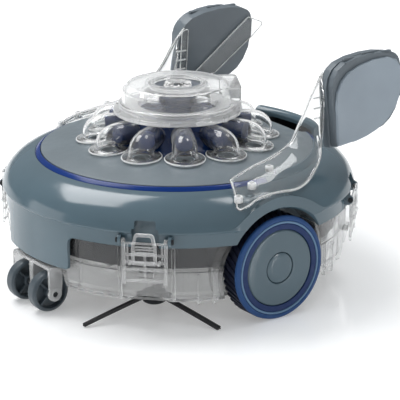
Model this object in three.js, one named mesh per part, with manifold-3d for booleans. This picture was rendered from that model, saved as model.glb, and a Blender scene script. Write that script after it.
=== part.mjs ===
// Cordless robotic pool cleaner, in millimetres.
// +Z is up, the origin is on the floor under the body's axis, the front is -Y and the machine's left is +X.
import * as THREE from 'three';
import { mergeVertices } from 'three/addons/utils/BufferGeometryUtils.js';
import Module from 'manifold-3d';

const wasm = await Module();
wasm.setup();

// ---- driving dimensions ----
const GAP = 0.3;
const WALL = 3;
const SEGMENTS = 36;

const LIP_R = 200;
const LIP_Z = 113;
const BAND_R = 196.5;
const BAND_BOTTOM_Z = 95;
const SKIRT_BOTTOM_Z = 57;
const SKIRT_HALF_ANGLE = 18;
const LEDGE_Z = 144.6;
const LEDGE_INNER_R = 148;

const RING_OUTER = { r: 161.8, z: 146.6 };
const RING_INNER = { r: 156.1, z: 151.6 };
const DECK_INNER_R = 80.2;
const DECK_FLAT_Z = 161;

const TRAY_R = 190;
const TRAY_TOP_Z = 97;
const TRAY_BOTTOM_Z = 27;

const WHEEL_R = 58.3;
const WHEEL_OUTER_X = 192;
const WHEEL_INNER_X = 165.5;
const WELL_R = 66;
const WELL_X = 158;
const FENDER_R = 79.5;
const FENDER_OUTER_X = 191;

const CASTER_R = 22.7;
const CASTER_Y = 190;
const CASTER_X = 22.75;
const CASTER_WIDTH = 15;
const CASTER_AXLE_R = 3;

const TUBE_COUNT = 12;
const TUBE_CIRCLE_R = 93;
const TUBE_SEAT_Z = 160;
const TUBE_TILT = 4;
const TUBE_R = 14;
const TUBE_BORE_R = 12;
const FLANGE_R = 22.2;

const HOUSING_R = 58;
const HOUSING_TOP_Z = 190.5;
const COLUMN_BORE_R = 15.5;
const MOTOR_SHAFT_R = 3;
const NOZZLE_DIRECTION = 60;
const NOZZLE_BASE_Z = 200.6;
const NOZZLE_WALL = 2.5;

const BRUSH_X = 102;
const BRUSH_Y = -103;
const BRUSH_REACH = 85;
const BRUSH_TURN = { left: 21, right: 60 };

const LATCH_ANGLES = { front_left: -45, rear_left: 45, rear_right: 135, front_right: -135 };
const LATCH_PIN = { r: 200, z: 104 };
const LEVER_PIN = { r: 203.6, z: 79.5 };
const LATCH_ARM_T = 22.75;

// ---- materials ----
const COLOURS = {
  shell_grey: [0x5f727c, 0.25],
  deck_grey: [0x86929a, 0.45],
  accent_blue: [0x0a2f7a, 0.2],
  clear_plastic: [0xdde4e6, 0.08],
  housing_blue: [0x1c2d5a, 0.35],
  tyre_blue: [0x22407f, 0.55],
  caster_grey: [0x4b545a, 0.5],
  pad_grey: [0x8c979f, 0.6],
  bristle_black: [0x141516, 0.8],
  dark_plastic: [0x2c3138, 0.5],
  steel: [0xb5b8bb, 0.3],
};

function material(slot) {
  const [color, roughness] = COLOURS[slot];
  const metalness = slot === 'steel' ? 0.9 : 0;
  return new THREE.MeshStandardMaterial({ color, roughness, metalness });
}

// ---- joining and cutting ----
function solid(geometry) {
  const flat = geometry.index ? geometry.toNonIndexed() : geometry;
  flat.deleteAttribute('normal');
  flat.deleteAttribute('uv');
  const merged = mergeVertices(flat, 1e-4);
  const points = merged.attributes.position.array;
  const triangles = [];
  let volume = 0;
  for (let i = 0; i < merged.index.count; i += 3) {
    const [a, b, c] = [0, 1, 2].map((k) => merged.index.getX(i + k));
    if (a === b || b === c || c === a) continue;
    triangles.push(a, b, c);
    const [pa, pb, pc] = [a, b, c].map((k) => new THREE.Vector3().fromArray(points, 3 * k));
    volume += pa.dot(pb.cross(pc));
  }
  if (volume < 0) triangles.reverse();
  const mesh = new wasm.Mesh({
    numProp: 3,
    vertProperties: new Float32Array(points),
    triVerts: new Uint32Array(triangles),
  });
  return new wasm.Manifold(mesh);
}

function union(...solids) {
  return solids.reduce((whole, piece) => whole.add(piece));
}

function without(whole, ...cuts) {
  return cuts.reduce((rest, cut) => rest.subtract(cut), whole);
}

function toGeometry(manifold) {
  const { vertProperties, triVerts } = manifold.getMesh();
  const geometry = new THREE.BufferGeometry();
  geometry.setAttribute('position', new THREE.BufferAttribute(vertProperties, 3));
  geometry.setIndex(new THREE.BufferAttribute(triVerts, 1));
  return geometry;
}

// ---- basic shapes ----
function lathe(profile, segments = SEGMENTS) {
  const points = profile.map(([r, z]) => new THREE.Vector2(r, z));
  return new THREE.LatheGeometry(points, segments).rotateX(Math.PI / 2);
}

function ringLathe(profile, segments = SEGMENTS) {
  return lathe([...profile, profile[0]], segments);
}

function disc(r, from, to, segments = SEGMENTS) {
  const [low, high] = [Math.min(from, to), Math.max(from, to)];
  return lathe([[0, low], [r, low], [r, high], [0, high]], segments);
}

function tubeRing(inner, outer, low, high, segments = SEGMENTS) {
  return ringLathe([[inner, low], [outer, low], [outer, high], [inner, high]], segments);
}

function block(low, high) {
  const size = high.map((value, i) => value - low[i]);
  const centre = high.map((value, i) => (value + low[i]) / 2);
  return new THREE.BoxGeometry(...size).translate(...centre);
}

// Turns a shape made about +Z so that it lies along +X.
function alongX(geometry) {
  return geometry.rotateY(Math.PI / 2);
}

// Turns a shape made about +Z so that it lies along +Y.
function alongY(geometry) {
  return geometry.rotateX(-Math.PI / 2);
}

function turned(geometry, degrees) {
  return geometry.rotateZ(THREE.MathUtils.degToRad(degrees));
}

// A prism whose outline is given in (y, z) and that spans low to high in X.
function prismX(outline, low, high) {
  const shape = new THREE.Shape(outline.map(([y, z]) => new THREE.Vector2(y, z)));
  const prism = new THREE.ExtrudeGeometry(shape, { depth: high - low, bevelEnabled: false });
  return prism.rotateX(Math.PI / 2).rotateZ(Math.PI / 2).translate(low, 0, 0);
}

const group = new THREE.Group();
const SIDES = { left: 1, right: -1 };

function addPart(name, shape, slot, parent = group) {
  const geometry = shape.isBufferGeometry ? shape : toGeometry(shape);
  const mesh = new THREE.Mesh(geometry, material(slot));
  mesh.name = name;
  parent.add(mesh);
  return mesh;
}

function addGroup(x, y, z, degrees = 0) {
  const frame = new THREE.Group();
  frame.position.set(x, y, z);
  frame.rotation.z = THREE.MathUtils.degToRad(degrees);
  group.add(frame);
  return frame;
}

// ---- wheel wells, one on each side ----
function wellSolids(clearance) {
  return Object.values(SIDES).map((side) => {
    const length = 60 + clearance;
    const well = alongX(disc(WELL_R + clearance, -length / 2, length / 2, 24));
    return solid(well.translate(side * (WELL_X - clearance + length / 2), 0, WHEEL_R));
  });
}

function axleHoles(r) {
  const hole = alongX(disc(r, -170, 170, 12));
  return solid(hole.translate(0, 0, WHEEL_R));
}

// ---- top shell with fenders, skirts and finger recesses ----
const SHELL_OUTER = [
  [BAND_R, BAND_BOTTOM_Z], [BAND_R, 111], [LIP_R, LIP_Z], [196.5, 123], [190.5, 131.5],
  [182, 138.5], [172, 143.5], [162.2, 146.5],
];
const SHELL_INNER = [
  [193.5, 94], [193.5, 112], [195.6, 115], [193, 122],
  [187.5, 129.5], [180, 135.5], [171, 140.2], [160, 141.6],
];

function shellEnvelope(growth = 0) {
  const grown = SHELL_OUTER.map(([r, z]) => [r + growth, z + growth]);
  return solid(lathe([[0, BAND_BOTTOM_Z], ...grown, [0, 146.5 + growth]]));
}

function fender(growth = 0) {
  const low = 120;
  const length = FENDER_OUTER_X - low + growth;
  return Object.values(SIDES).map((side) => {
    const barrel = alongX(disc(FENDER_R + growth, 0, side * length, 32));
    const hoop = solid(barrel.translate(side * low, 0, WHEEL_R));
    const keep = solid(block([-210, -90, BAND_BOTTOM_Z], [210, 90, 150]));
    return hoop.intersect(keep);
  });
}

function skirt(centreAngle) {
  const wedge = new THREE.Shape();
  const reach = 260;
  wedge.moveTo(0, 0);
  for (const step of [-1, 0, 1]) {
    const angle = THREE.MathUtils.degToRad(centreAngle + step * SKIRT_HALF_ANGLE);
    wedge.lineTo(reach * Math.cos(angle), reach * Math.sin(angle));
  }
  const sector = new THREE.ExtrudeGeometry(wedge, { depth: 60, bevelEnabled: false });
  const band = solid(tubeRing(BAND_R - WALL, BAND_R, SKIRT_BOTTOM_Z, BAND_BOTTOM_Z + 1));
  return band.intersect(solid(sector.translate(0, 0, 50)));
}

function fingerRecess(angle, growth = 0) {
  const near = 186 - growth;
  const wide = block([near, -14.5 - growth, 97.3], [210, 14.5 + growth, 116 + growth]);
  const narrow = block([near, -11.5 - growth, 97.3], [210, 11.5 + growth, 124.5 + growth]);
  return union(solid(turned(wide, angle)), solid(turned(narrow, angle)));
}

function latchLugs(angle) {
  const lugs = [-1, 1].map((side) => {
    const lug = block([194, side * 27 - 1.75, 99], [202, side * 27 + 1.75, 108.5]);
    const hole = alongY(disc(2.7, -4, 4, 6)).translate(LATCH_PIN.r, side * 27, LATCH_PIN.z);
    return without(solid(turned(lug, angle)), solid(turned(hole, angle)));
  });
  return union(...lugs);
}

// Finger pocket in front of the rear handle.
const HANDLE = { halfWidth: 48, near: 137, far: 179, floor: 126 };

function handlePocket(growth = 0) {
  const half = HANDLE.halfWidth + growth;
  const low = [-half, HANDLE.near - growth, HANDLE.floor - growth];
  return solid(block(low, [half, HANDLE.far + growth, 170]));
}

function topShell() {
  const angles = Object.values(LATCH_ANGLES);
  const outer = union(shellEnvelope(), ...fender());
  const hollow = without(
    solid(lathe([[0, 94], ...SHELL_INNER, [0, 141.6]])),
    ...wellSolids(WALL),
    ...angles.map((angle) => fingerRecess(angle, WALL)),
    handlePocket(WALL),
  );
  const opening = without(solid(disc(LEDGE_INNER_R, 90, 160)), handlePocket(WALL));
  const shell = without(
    outer,
    hollow,
    opening,
    solid(tubeRing(0.01, 162.2, LEDGE_Z, 160)),
    ...wellSolids(0),
    ...angles.map((angle) => fingerRecess(angle)),
    handlePocket(),
    solid(disc(191.8, 90, TRAY_TOP_Z + GAP)),
  );
  return union(shell, skirtWithPorts(90), skirt(-90), ...angles.map(latchLugs));
}

// ---- rear handle, over the far edge of the pocket ----
function rearHandle() {
  const section = [[164, 130], [178, 130], [178, 154.5], [174, 158], [167, 158], [164, 155.5]];
  const bar = solid(ringLathe(section));
  const sector = solid(block([-58, 140, 120], [58, 190, 170]));
  const grip = solid(block([-HANDLE.halfWidth, 120, 120], [HANDLE.halfWidth, 200, 149]));
  return without(bar.intersect(sector), grip, shellEnvelope(GAP));
}

// ---- deck and ring ----
function deckCover() {
  const profile = [
    [DECK_INNER_R, DECK_FLAT_Z - WALL], [151, 148.2], [151, 145], [155.7, 145], [155.7, 151.8],
    [108, 158.9], [78 + 2.5, DECK_FLAT_Z - 0.1], [DECK_INNER_R, DECK_FLAT_Z - 0.1],
  ];
  const holes = tubeAngles().map((angle) => {
    const hole = disc(11, 140, 170, 6).translate(TUBE_CIRCLE_R, 0, 0);
    return solid(turned(hole, angle));
  });
  return without(solid(ringLathe(profile)), ...holes, handlePocket(GAP));
}

function accentRing() {
  const profile = [
    [RING_INNER.r, 145], [RING_OUTER.r, 145],
    [RING_OUTER.r, RING_OUTER.z], [RING_INNER.r, RING_INNER.z],
  ];
  return without(solid(ringLathe(profile)), handlePocket(GAP));
}

// ---- clear elbow tubes on the deck ----
function tubeAngles() {
  return Array.from({ length: TUBE_COUNT }, (_, i) => (i * 360) / TUBE_COUNT);
}

// A closed ring-shaped skin through a loop of circles. Each circle is [x, z, tilt in degrees, radius].
function loftedLoop(circles, segments = 12) {
  const pointOn = ([x, z, degrees, r], i) => {
    const around = (i * 2 * Math.PI) / segments;
    const tilt = THREE.MathUtils.degToRad(degrees);
    const out = r * Math.cos(around);
    return [x + out * Math.cos(tilt), r * Math.sin(around), z + out * Math.sin(tilt)];
  };
  const points = circles.map((circle) => Array.from({ length: segments }, (_, i) => pointOn(circle, i)));
  const positions = [];
  circles.forEach((_, i) => {
    const [here, next] = [points[i], points[(i + 1) % circles.length]];
    here.forEach((_point, k) => {
      const after = (k + 1) % segments;
      positions.push(...here[k], ...here[after], ...next[after]);
      positions.push(...here[k], ...next[after], ...next[k]);
    });
  });
  const geometry = new THREE.BufferGeometry();
  geometry.setAttribute('position', new THREE.Float32BufferAttribute(positions, 3));
  return solid(geometry);
}

// A flanged elbow: up from its seat on the deck, then inwards to the motor housing.
function elbowTube() {
  const bend = [[94, 168, 8], [90.5, 173.3, 38], [83, 176.2, 72], [HOUSING_R + 1.2, 176.5, 90]];
  const flange = (r, lift) => [TUBE_CIRCLE_R + 0.07 * lift, TUBE_SEAT_Z + lift, -TUBE_TILT, r];
  const outside = bend.map(([x, z, tilt]) => [x, z, tilt, TUBE_R]);
  const inside = bend.map(([x, z, tilt]) => [x, z, tilt, TUBE_BORE_R]).reverse();
  return loftedLoop([
    flange(TUBE_BORE_R, GAP), flange(FLANGE_R, GAP),
    flange(FLANGE_R, GAP + 2), flange(TUBE_R, GAP + 2),
    ...outside, ...inside,
  ]);
}

function addTubes() {
  tubeAngles().forEach((angle, i) => {
    const name = `outlet_tube_${String(i + 1).padStart(2, '0')}`;
    addPart(name, elbowTube(), 'clear_plastic', addGroup(0, 0, 0, angle));
  });
}

// ---- motor housing, nozzle and pump ----
function motorHousing() {
  const profile = [
    [COLUMN_BORE_R, HOUSING_TOP_Z - WALL], [HOUSING_R - WALL, HOUSING_TOP_Z - WALL],
    [HOUSING_R - WALL, 160], [60, 158], [79.8, 158], [79.8, DECK_FLAT_Z - 0.1], [HOUSING_R, DECK_FLAT_Z],
    [HOUSING_R, HOUSING_TOP_Z], [COLUMN_BORE_R, HOUSING_TOP_Z],
  ];
  const ports = tubeAngles().map((angle) => {
    const port = block([45, -7, TUBE_SEAT_Z + 9], [65, 7, TUBE_SEAT_Z + 24]);
    return solid(turned(port, angle));
  });
  return without(solid(turned(ringLathe(profile, 24), 7.5)), ...ports);
}

function nozzleColumn() {
  const ribs = [197, 205].map((z) => solid(tubeRing(17, 23, z, z + 3, 20)));
  const pipe = tubeRing(COLUMN_BORE_R, 20, HOUSING_TOP_Z + GAP, 215, 20);
  return union(solid(pipe), ...ribs);
}

function turntableRing() {
  return ringLathe([[45, 191], [73, 191], [73, 196], [66, 200], [45, 200]], 32);
}

function nozzleHead() {
  const shoulder = [[63, NOZZLE_BASE_Z], [63, 209], [58, 217], [49, 223], [32, 224.5]];
  const recess = [[28.4, 224.5], [28.4, 219], [0, 219]];
  const body = solid(lathe([[0, NOZZLE_BASE_Z], ...shoulder, ...recess], 28));
  const snout = solid(block([0, -24.5, NOZZLE_BASE_Z], [70, 35.5, 222]));
  const hollowProfile = [
    [0, 190], [60.5, 190], [60.5, 208], [48, 220.3], [30.9, 220.5], [30.9, 216.5], [0, 216.5],
  ];
  const bodyHollow = solid(lathe(hollowProfile, 28));
  const mouthLow = [10, -24.5 + NOZZLE_WALL, 190];
  const mouthHigh = [80, 35.5 - NOZZLE_WALL, 222 - NOZZLE_WALL];
  const snoutHollow = solid(block(mouthLow, mouthHigh));
  const plug = solid(disc(30.9, 216.5, 222.5, 28));
  const cupHollow = solid(disc(28.4, 219, 230, 28));
  return without(union(body, snout), bodyHollow, without(snoutHollow, plug), cupHollow);
}

function nozzleKnob() {
  return lathe([[0, 219.3], [15, 219.3], [15, 224], [12, 226], [0, 226]], 24);
}

function impeller() {
  const hub = solid(disc(9, 168, 186, 16));
  const shaft = solid(disc(MOTOR_SHAFT_R, 150 + GAP, 188, 10));
  const blades = Array.from({ length: 6 }, (_, i) => {
    const blade = block([7, -1.2, 170], [40, 1.2, 184]).rotateX(0.35).translate(0, 62, 8);
    return solid(turned(blade, i * 60));
  });
  return union(hub, shaft, ...blades);
}

function addPump() {
  addPart('motor_housing', motorHousing(), 'housing_blue');
  addPart('nozzle_column', nozzleColumn(), 'accent_blue');
  addPart('turntable_ring', turntableRing(), 'clear_plastic');
  addPart('pump_motor', disc(24, 69.5, 150, 24), 'dark_plastic');
  addPart('impeller', impeller(), 'dark_plastic');
  const head = addGroup(0, 0, 0, NOZZLE_DIRECTION);
  addPart('nozzle_head', nozzleHead(), 'clear_plastic', head);
  addPart('nozzle_knob', nozzleKnob(), 'clear_plastic', head);
}

// ---- bottom tray with the caster forks ----
function casterNotch(side, growth = 0) {
  const [near, far] = [side * (162 - growth), side * 240];
  const low = [-45 - growth, Math.min(near, far), 0];
  const high = [45 + growth, Math.max(near, far), 50 + growth];
  return solid(block(low, high));
}

function casterFork(side) {
  const y = side * (CASTER_Y - 1);
  const arm = (x, width) => {
    const plate = solid(block([x - width / 2, y - 8, CASTER_R], [x + width / 2, y + 8, 54]));
    const boss = alongX(disc(8, -width / 2, width / 2, 8)).translate(x, side * CASTER_Y, CASTER_R);
    return union(plate, solid(boss));
  };
  const hole = alongX(disc(CASTER_AXLE_R + GAP, -60, 60, 8)).translate(0, side * CASTER_Y, CASTER_R);
  return without(union(arm(0, 8), arm(-37, 4), arm(37, 4)), solid(hole));
}

// Debris inlet in the floor, with a low chimney around it.
const INLET = { y: -100, halfWidth: 30, halfDepth: 12, top: 38 };

function inletBlock(growth, from, to) {
  const [wide, deep] = [INLET.halfWidth + growth, INLET.halfDepth + growth];
  return solid(block([-wide, INLET.y - deep, from], [wide, INLET.y + deep, to]));
}

function bottomTray() {
  const outer = [[176, 27], [184, 31], [188, 40], [TRAY_R, 60], [TRAY_R, TRAY_TOP_Z]];
  const inner = [[175, 30], [182, 34], [185, 42], [187, 60], [187, TRAY_TOP_Z + 1]];
  const cup = without(
    solid(lathe([[0, TRAY_BOTTOM_Z], ...outer, [0, TRAY_TOP_Z]])),
    ...wellSolids(0), casterNotch(1), casterNotch(-1),
  );
  const hollow = without(
    solid(lathe([[0, 30], ...inner, [0, TRAY_TOP_Z + 1]])),
    ...wellSolids(WALL), casterNotch(1, WALL), casterNotch(-1, WALL), inletBlock(2.5, 20, INLET.top),
  );
  const posts = Object.values(LATCH_ANGLES).map(latchPosts);
  const forks = [casterFork(1), casterFork(-1)];
  const tray = union(without(cup, hollow), ...posts, ...forks);
  return without(tray, inletBlock(0, 20, INLET.top + 5), axleHoles(8));
}

// Two upright jambs beside each latch, and the catch that it hooks over.
function latchPosts(angle) {
  const jambs = [-29, 29].map((t) => block([186, t - 1.5, 30], [195, t + 1.5, 94.5]));
  const hook = block([186, -8, 60], [196, 8, 68]);
  return union(...[...jambs, hook].map((piece) => solid(turned(piece, angle))));
}

function inletFlap() {
  const y = INLET.y;
  return block([-33, y - 14, INLET.top + GAP], [33, y + 14, INLET.top + GAP + 2]);
}

// ---- sealed bay and what it holds ----
function equipmentBay() {
  const bump = (side, shrink) => {
    const [near, far] = [side * (86 + shrink), side * (152 - shrink)];
    const low = [Math.min(near, far), -24 + shrink, 36 + shrink];
    return solid(block(low, [Math.max(near, far), 24 - shrink, 72]));
  };
  const outer = union(solid(disc(180, 66, 100)), bump(1, 0), bump(-1, 0));
  const inner = union(solid(disc(177, 69, 101)), bump(1, WALL), bump(-1, WALL));
  const hollow = without(inner, ...wellSolids(9));
  return without(outer, hollow, ...wellSolids(6), axleHoles(8));
}

function gearMotor(side) {
  return alongX(disc(18, side * 92, side * 146, 24)).translate(0, 0, WHEEL_R);
}

function filterBasket() {
  const slots = Array.from({ length: 6 }, (_, i) => {
    return solid(turned(block([50, -20, 38], [80, 20, 58]), i * 60));
  });
  return without(solid(tubeRing(62, 65, 31, 65.5, 24)), ...slots);
}

function addInside() {
  addPart('bottom_tray', bottomTray(), 'clear_plastic');
  addPart('inlet_flap', inletFlap(), 'dark_plastic');
  addPart('equipment_bay', equipmentBay(), 'dark_plastic');
  addPart('battery_pack', block([-75, 40, 69.5], [75, 112, 97]), 'housing_blue');
  addPart('filter_basket', filterBasket(), 'deck_grey');
  for (const [name, side] of Object.entries(SIDES)) {
    addPart(`gear_motor_${name}`, gearMotor(side), 'dark_plastic');
  }
}

// ---- rear skirt ports: power button and charging cap ----
const PORTS = { button: { angle: 96, r: 7, z: 78 }, cap: { angle: 84, r: 9, z: 78 } };

function radialDisc({ angle, r, z }, near, far, segments = 16) {
  return turned(alongX(disc(r, near, far, segments)).translate(0, 0, z), angle);
}

function skirtWithPorts(angle) {
  const cuts = Object.values(PORTS).map((port) => {
    return solid(radialDisc({ ...port, r: port.r + 0.4 }, 180, 205));
  });
  return without(skirt(angle), ...cuts);
}

function addRearPorts() {
  addPart('power_button', radialDisc(PORTS.button, 192.5, 198), 'accent_blue');
  addPart('charging_cap', radialDisc(PORTS.cap, 191.5, 199), 'dark_plastic');
}

// ---- drive wheels ----
function addDriveWheel(name, side) {
  const frame = addGroup(0, 0, WHEEL_R, side > 0 ? 0 : 180);
  const [inner, outer] = [WHEEL_INNER_X, WHEEL_OUTER_X];
  const seat = outer - 6;
  const tread = [
    [43, inner], [56.8, inner], [WHEEL_R, inner + 2],
    [WHEEL_R, outer - 3.5], [55.5, outer - 0.5], [43, outer - 0.5],
  ];
  const dished = [
    [0, 147], [6, 147], [6, inner + 2.5], [42.6, inner + 2.5], [42.6, outer - 1.5],
    [41, outer - 0.5], [17.4, outer - 1], [17.4, seat], [0, seat],
  ];
  const cap = [[0, seat + GAP], [16.9, seat + GAP], [16.9, outer - 1], [15.5, outer], [0, outer]];
  addPart(`tyre_${name}`, alongX(ringLathe(tread, 40)), 'tyre_blue', frame);
  addPart(`wheel_disc_${name}`, alongX(lathe(dished, 28)), 'shell_grey', frame);
  addPart(`hub_cap_${name}`, alongX(lathe(cap, 24)), 'shell_grey', frame);
}

// ---- casters ----
function casterWheel() {
  const half = CASTER_WIDTH / 2;
  const rim = solid(tubeRing(18.6, CASTER_R, -half, half, 24));
  const hub = solid(tubeRing(CASTER_AXLE_R + 0.5, 6.5, -half, half, 8));
  const spokes = [0, 90].map((angle) => {
    const spoke = turned(block([-20, -1, -half + 2], [20, 1, half - 2]), angle);
    return without(solid(spoke), solid(disc(5, -20, 20, 8)));
  });
  return union(rim, hub, ...spokes);
}

function addCasters() {
  for (const [end, ySign] of [['front', -1], ['rear', 1]]) {
    const frame = addGroup(0, ySign * CASTER_Y, CASTER_R);
    addPart(`caster_axle_${end}`, alongX(disc(CASTER_AXLE_R, -41, 41, 8)), 'steel', frame);
    for (const [name, side] of Object.entries(SIDES)) {
      const wheel = addPart(`caster_wheel_${end}_${name}`, casterWheel(), 'caster_grey', frame);
      wheel.position.x = side * CASTER_X;
      wheel.rotation.y = Math.PI / 2;
    }
  }
}

// ---- side brushes ----
function brushHub() {
  return lathe([[0, 15], [10, 15], [13, 17], [13, 20.5], [9, 22.8], [0, 23.2]], 20);
}

function brushBristles() {
  const slope = 0.31;
  const arms = [0, 120, 240].map((angle) => {
    const arm = block([0, -2.25, -1.5], [BRUSH_REACH - 10, 2.25, 1.5]);
    arm.rotateY(Math.atan(slope)).translate(10, 0, 24.6);
    return solid(turned(arm, angle));
  });
  return union(solid(disc(13, 23.6, 26.6, 18)), ...arms);
}

function addBrushes() {
  for (const [name, side] of Object.entries(SIDES)) {
    const frame = addGroup(side * BRUSH_X, BRUSH_Y, 0, BRUSH_TURN[name]);
    addPart(`brush_hub_${name}`, brushHub(), 'accent_blue', frame);
    addPart(`brush_bristles_${name}`, brushBristles(), 'bristle_black', frame);
  }
}

// ---- latches ----
function latchFrame() {
  const arms = [-LATCH_ARM_T, LATCH_ARM_T].map((t) => {
    const arm = solid(block([198.25, t - 1.75, 54], [201.75, t + 1.75, LATCH_PIN.z + 1]));
    const knuckle = alongY(disc(3.1, -2, 2, 6)).translate(LATCH_PIN.r, t, LATCH_PIN.z);
    return union(arm, solid(knuckle));
  });
  const pin = solid(alongY(disc(2, -28.5, 28.5, 6)).translate(LATCH_PIN.r, 0, LATCH_PIN.z));
  const rib = (z) => solid(block([198.25, -22, z - 1.25], [201, 22, z + 1.25]));
  const spine = solid(block([198.25, -1.5, 58], [201, 1.5, 79]));
  const { r, z } = LEVER_PIN;
  const ears = [-15.8, 15.8].map((t) => {
    return solid(block([198.25, t - 1.2, z - 2.4], [r + 2.4, t + 1.2, z + 2.4]));
  });
  const pinHoles = solid(alongY(disc(1.4, -20, 20, 6)).translate(r, 0, z));
  return without(union(...arms, pin, ...[59, 71, z].map(rib), spine, ...ears), pinHoles);
}

function latchLever() {
  const [low, high] = [202.2, 205];
  const bottom = LEVER_PIN.z - 1.5;
  const edge = [[-13.5, bottom], [13.5, bottom], [13.5, 100], [10, 113], [-10, 113], [-13.5, 100]];
  const pin = solid(alongY(disc(1, -16.5, 16.5, 6)).translate(LEVER_PIN.r, 0, LEVER_PIN.z));
  const window = solid(block([low - 1, -10.5, 81], [high + 1, 10.5, 98]));
  return union(without(solid(prismX(edge, low, high)), window), pin);
}

function addLatches() {
  for (const [name, angle] of Object.entries(LATCH_ANGLES)) {
    const frame = addGroup(0, 0, 0, angle);
    addPart(`latch_frame_${name}`, latchFrame(), 'clear_plastic', frame);
    addPart(`latch_lever_${name}`, latchLever(), 'clear_plastic', frame);
  }
}

// ---- clear wing arms and float pads ----
// Each row is one station of the left arm: a point on its upper inner edge and one on its lower outer edge.
const WING_STATIONS = [
  [[155, -38, 157], [187, -48, 132.6]],
  [[150, -21, 160], [188, -39, 137]],
  [[146, -2, 163.5], [187, -25, 141.6]],
  [[143, 23, 167.5], [186.5, -2, 143.5]],
  [[141, 42, 173.5], [186, 24.5, 142]],
  [[140, 53, 179.5], [181, 41, 143]],
  [[139, 63, 194], [174, 56.5, 147.5]],
  [[138, 71, 204], [160, 78.5, 158.8]],
  [[137, 77, 213], [152, 86, 168]],
  [[136.3, 83, 223], [146, 93, 185]],
  [[135.6, 92, 236], [141, 97.5, 205]],
  [[133.5, 101, 247], [137, 99, 222]],
];
const WING_THICKNESS = 2.6;
const WING_CROWN = 5;
const STRAP = {
  x: [132.3, 135.2],
  outline: [
    [94, 241], [88.5, 230], [85.5, 216], [85.5, 202], [90, 190], [100, 184], [112, 182], [150, 183.3],
    [203.6, 222.4], [218, 234.5], [218.5, 239], [197, 248], [136, 203], [118, 200], [112, 222],
    [108, 250], [101, 250],
  ],
};
const PAD_LEAN = 0.09;
const PAD_X = [135.5, 160];
const PAD_PIVOT = [135, 220];

function wingGrid() {
  const across = 4;
  return WING_STATIONS.map(([top, low]) => {
    const [a, b] = [new THREE.Vector3(...top), new THREE.Vector3(...low)];
    return Array.from({ length: across }, (_, i) => a.clone().lerp(b, i / (across - 1)));
  });
}

function gridNormal(rows, i, j) {
  const along = rows[Math.min(i + 1, rows.length - 1)][j].clone().sub(rows[Math.max(i - 1, 0)][j]);
  const row = rows[i];
  const across = row[Math.min(j + 1, row.length - 1)].clone().sub(row[Math.max(j - 1, 0)]);
  return across.cross(along).normalize();
}

// The arm's surface, crowned across its width and moved out along its normal.
function wingSurface(distance) {
  const rows = wingGrid();
  const last = rows[0].length - 1;
  const crown = (j) => WING_CROWN * 4 * (j / last) * (1 - j / last);
  return rows.map((row, i) => row.map((point, j) => {
    return point.clone().addScaledVector(gridNormal(rows, i, j), crown(j) + distance);
  }));
}

function wingSheet() {
  return sheetSolid(wingSurface(0), wingSurface(-WING_THICKNESS));
}

// A closed solid between two grids of points that lie face to face.
function sheetSolid(front, back) {
  const positions = [];
  const quad = (a, b, c, d) => {
    for (const corner of [a, b, c, a, c, d]) positions.push(corner.x, corner.y, corner.z);
  };
  const [rows, columns] = [front.length - 1, front[0].length - 1];
  for (let i = 0; i < rows; i += 1) {
    for (let j = 0; j < columns; j += 1) {
      quad(front[i][j], front[i + 1][j], front[i + 1][j + 1], front[i][j + 1]);
      quad(back[i][j], back[i][j + 1], back[i + 1][j + 1], back[i + 1][j]);
    }
    quad(front[i][0], back[i][0], back[i + 1][0], front[i + 1][0]);
    quad(front[i][columns], front[i + 1][columns], back[i + 1][columns], back[i][columns]);
  }
  for (let j = 0; j < columns; j += 1) {
    quad(front[0][j], front[0][j + 1], back[0][j + 1], back[0][j]);
    quad(front[rows][j], back[rows][j], back[rows][j + 1], front[rows][j + 1]);
  }
  const geometry = new THREE.BufferGeometry();
  geometry.setAttribute('position', new THREE.Float32BufferAttribute(positions, 3));
  return solid(geometry);
}

function leaned(geometry) {
  const [x, z] = PAD_PIVOT;
  return geometry.translate(-x, 0, -z).rotateY(-PAD_LEAN).translate(x, 0, z);
}

// The clip posts that hold the arm to the shell.
function wingPosts() {
  const middle = wingSurface(-WING_THICKNESS / 2);
  return [[1, 2], [2, 2], [3, 1]].map(([station, step]) => {
    const { x, y, z } = middle[station][step];
    return solid(disc(4, z - 25, z, 6).translate(x, y, 0));
  });
}

function wingArm() {
  const strap = solid(leaned(prismX(STRAP.outline, ...STRAP.x)));
  const arm = union(wingSheet(), strap, ...wingPosts());
  const ringTop = solid(disc(RING_OUTER.r + 2 * GAP, 120, RING_INNER.z + 2 * GAP));
  const clearance = [shellEnvelope(GAP + 0.2), ...fender(GAP + 0.2), floatPad(GAP), ringTop];
  return without(arm, ...clearance);
}

// A closed float, wider against the arm than at its outer face.
const PAD_STEP_X = 148;
const PAD_INNER = [
  [97.5, 164], [96.5, 232], [99, 242], [104.5, 250.5], [114, 257], [131, 261.5], [152, 263.5],
  [170, 263.3], [188, 260.5], [197, 256.5], [201.8, 251], [203.5, 243], [203.3, 222], [200.5, 207],
  [194.5, 194], [186, 184], [176, 177.5], [155, 171.5], [125, 166.5],
];
const PAD_OUTER = [
  [99, 165.5], [99, 234], [101.5, 243], [107, 251], [117, 257.5], [135, 261.5], [152, 263],
  [170, 262], [182, 259], [190, 254], [194, 248], [195.3, 240], [195, 225], [191.5, 210],
  [185, 199], [176, 189], [167, 182], [155, 176], [141, 171.5], [125, 168.5],
];

function floatPad(growth = 0) {
  const swell = 1 + growth / 40;
  const slab = (outline, low, high) => {
    const points = outline.map(([y, z]) => [150 + (y - 150) * swell, 215 + (z - 215) * swell]);
    return solid(leaned(prismX(points, low - growth, high + growth)));
  };
  return union(slab(PAD_INNER, PAD_X[0], PAD_STEP_X), slab(PAD_OUTER, PAD_STEP_X - 1, PAD_X[1]));
}

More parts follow.
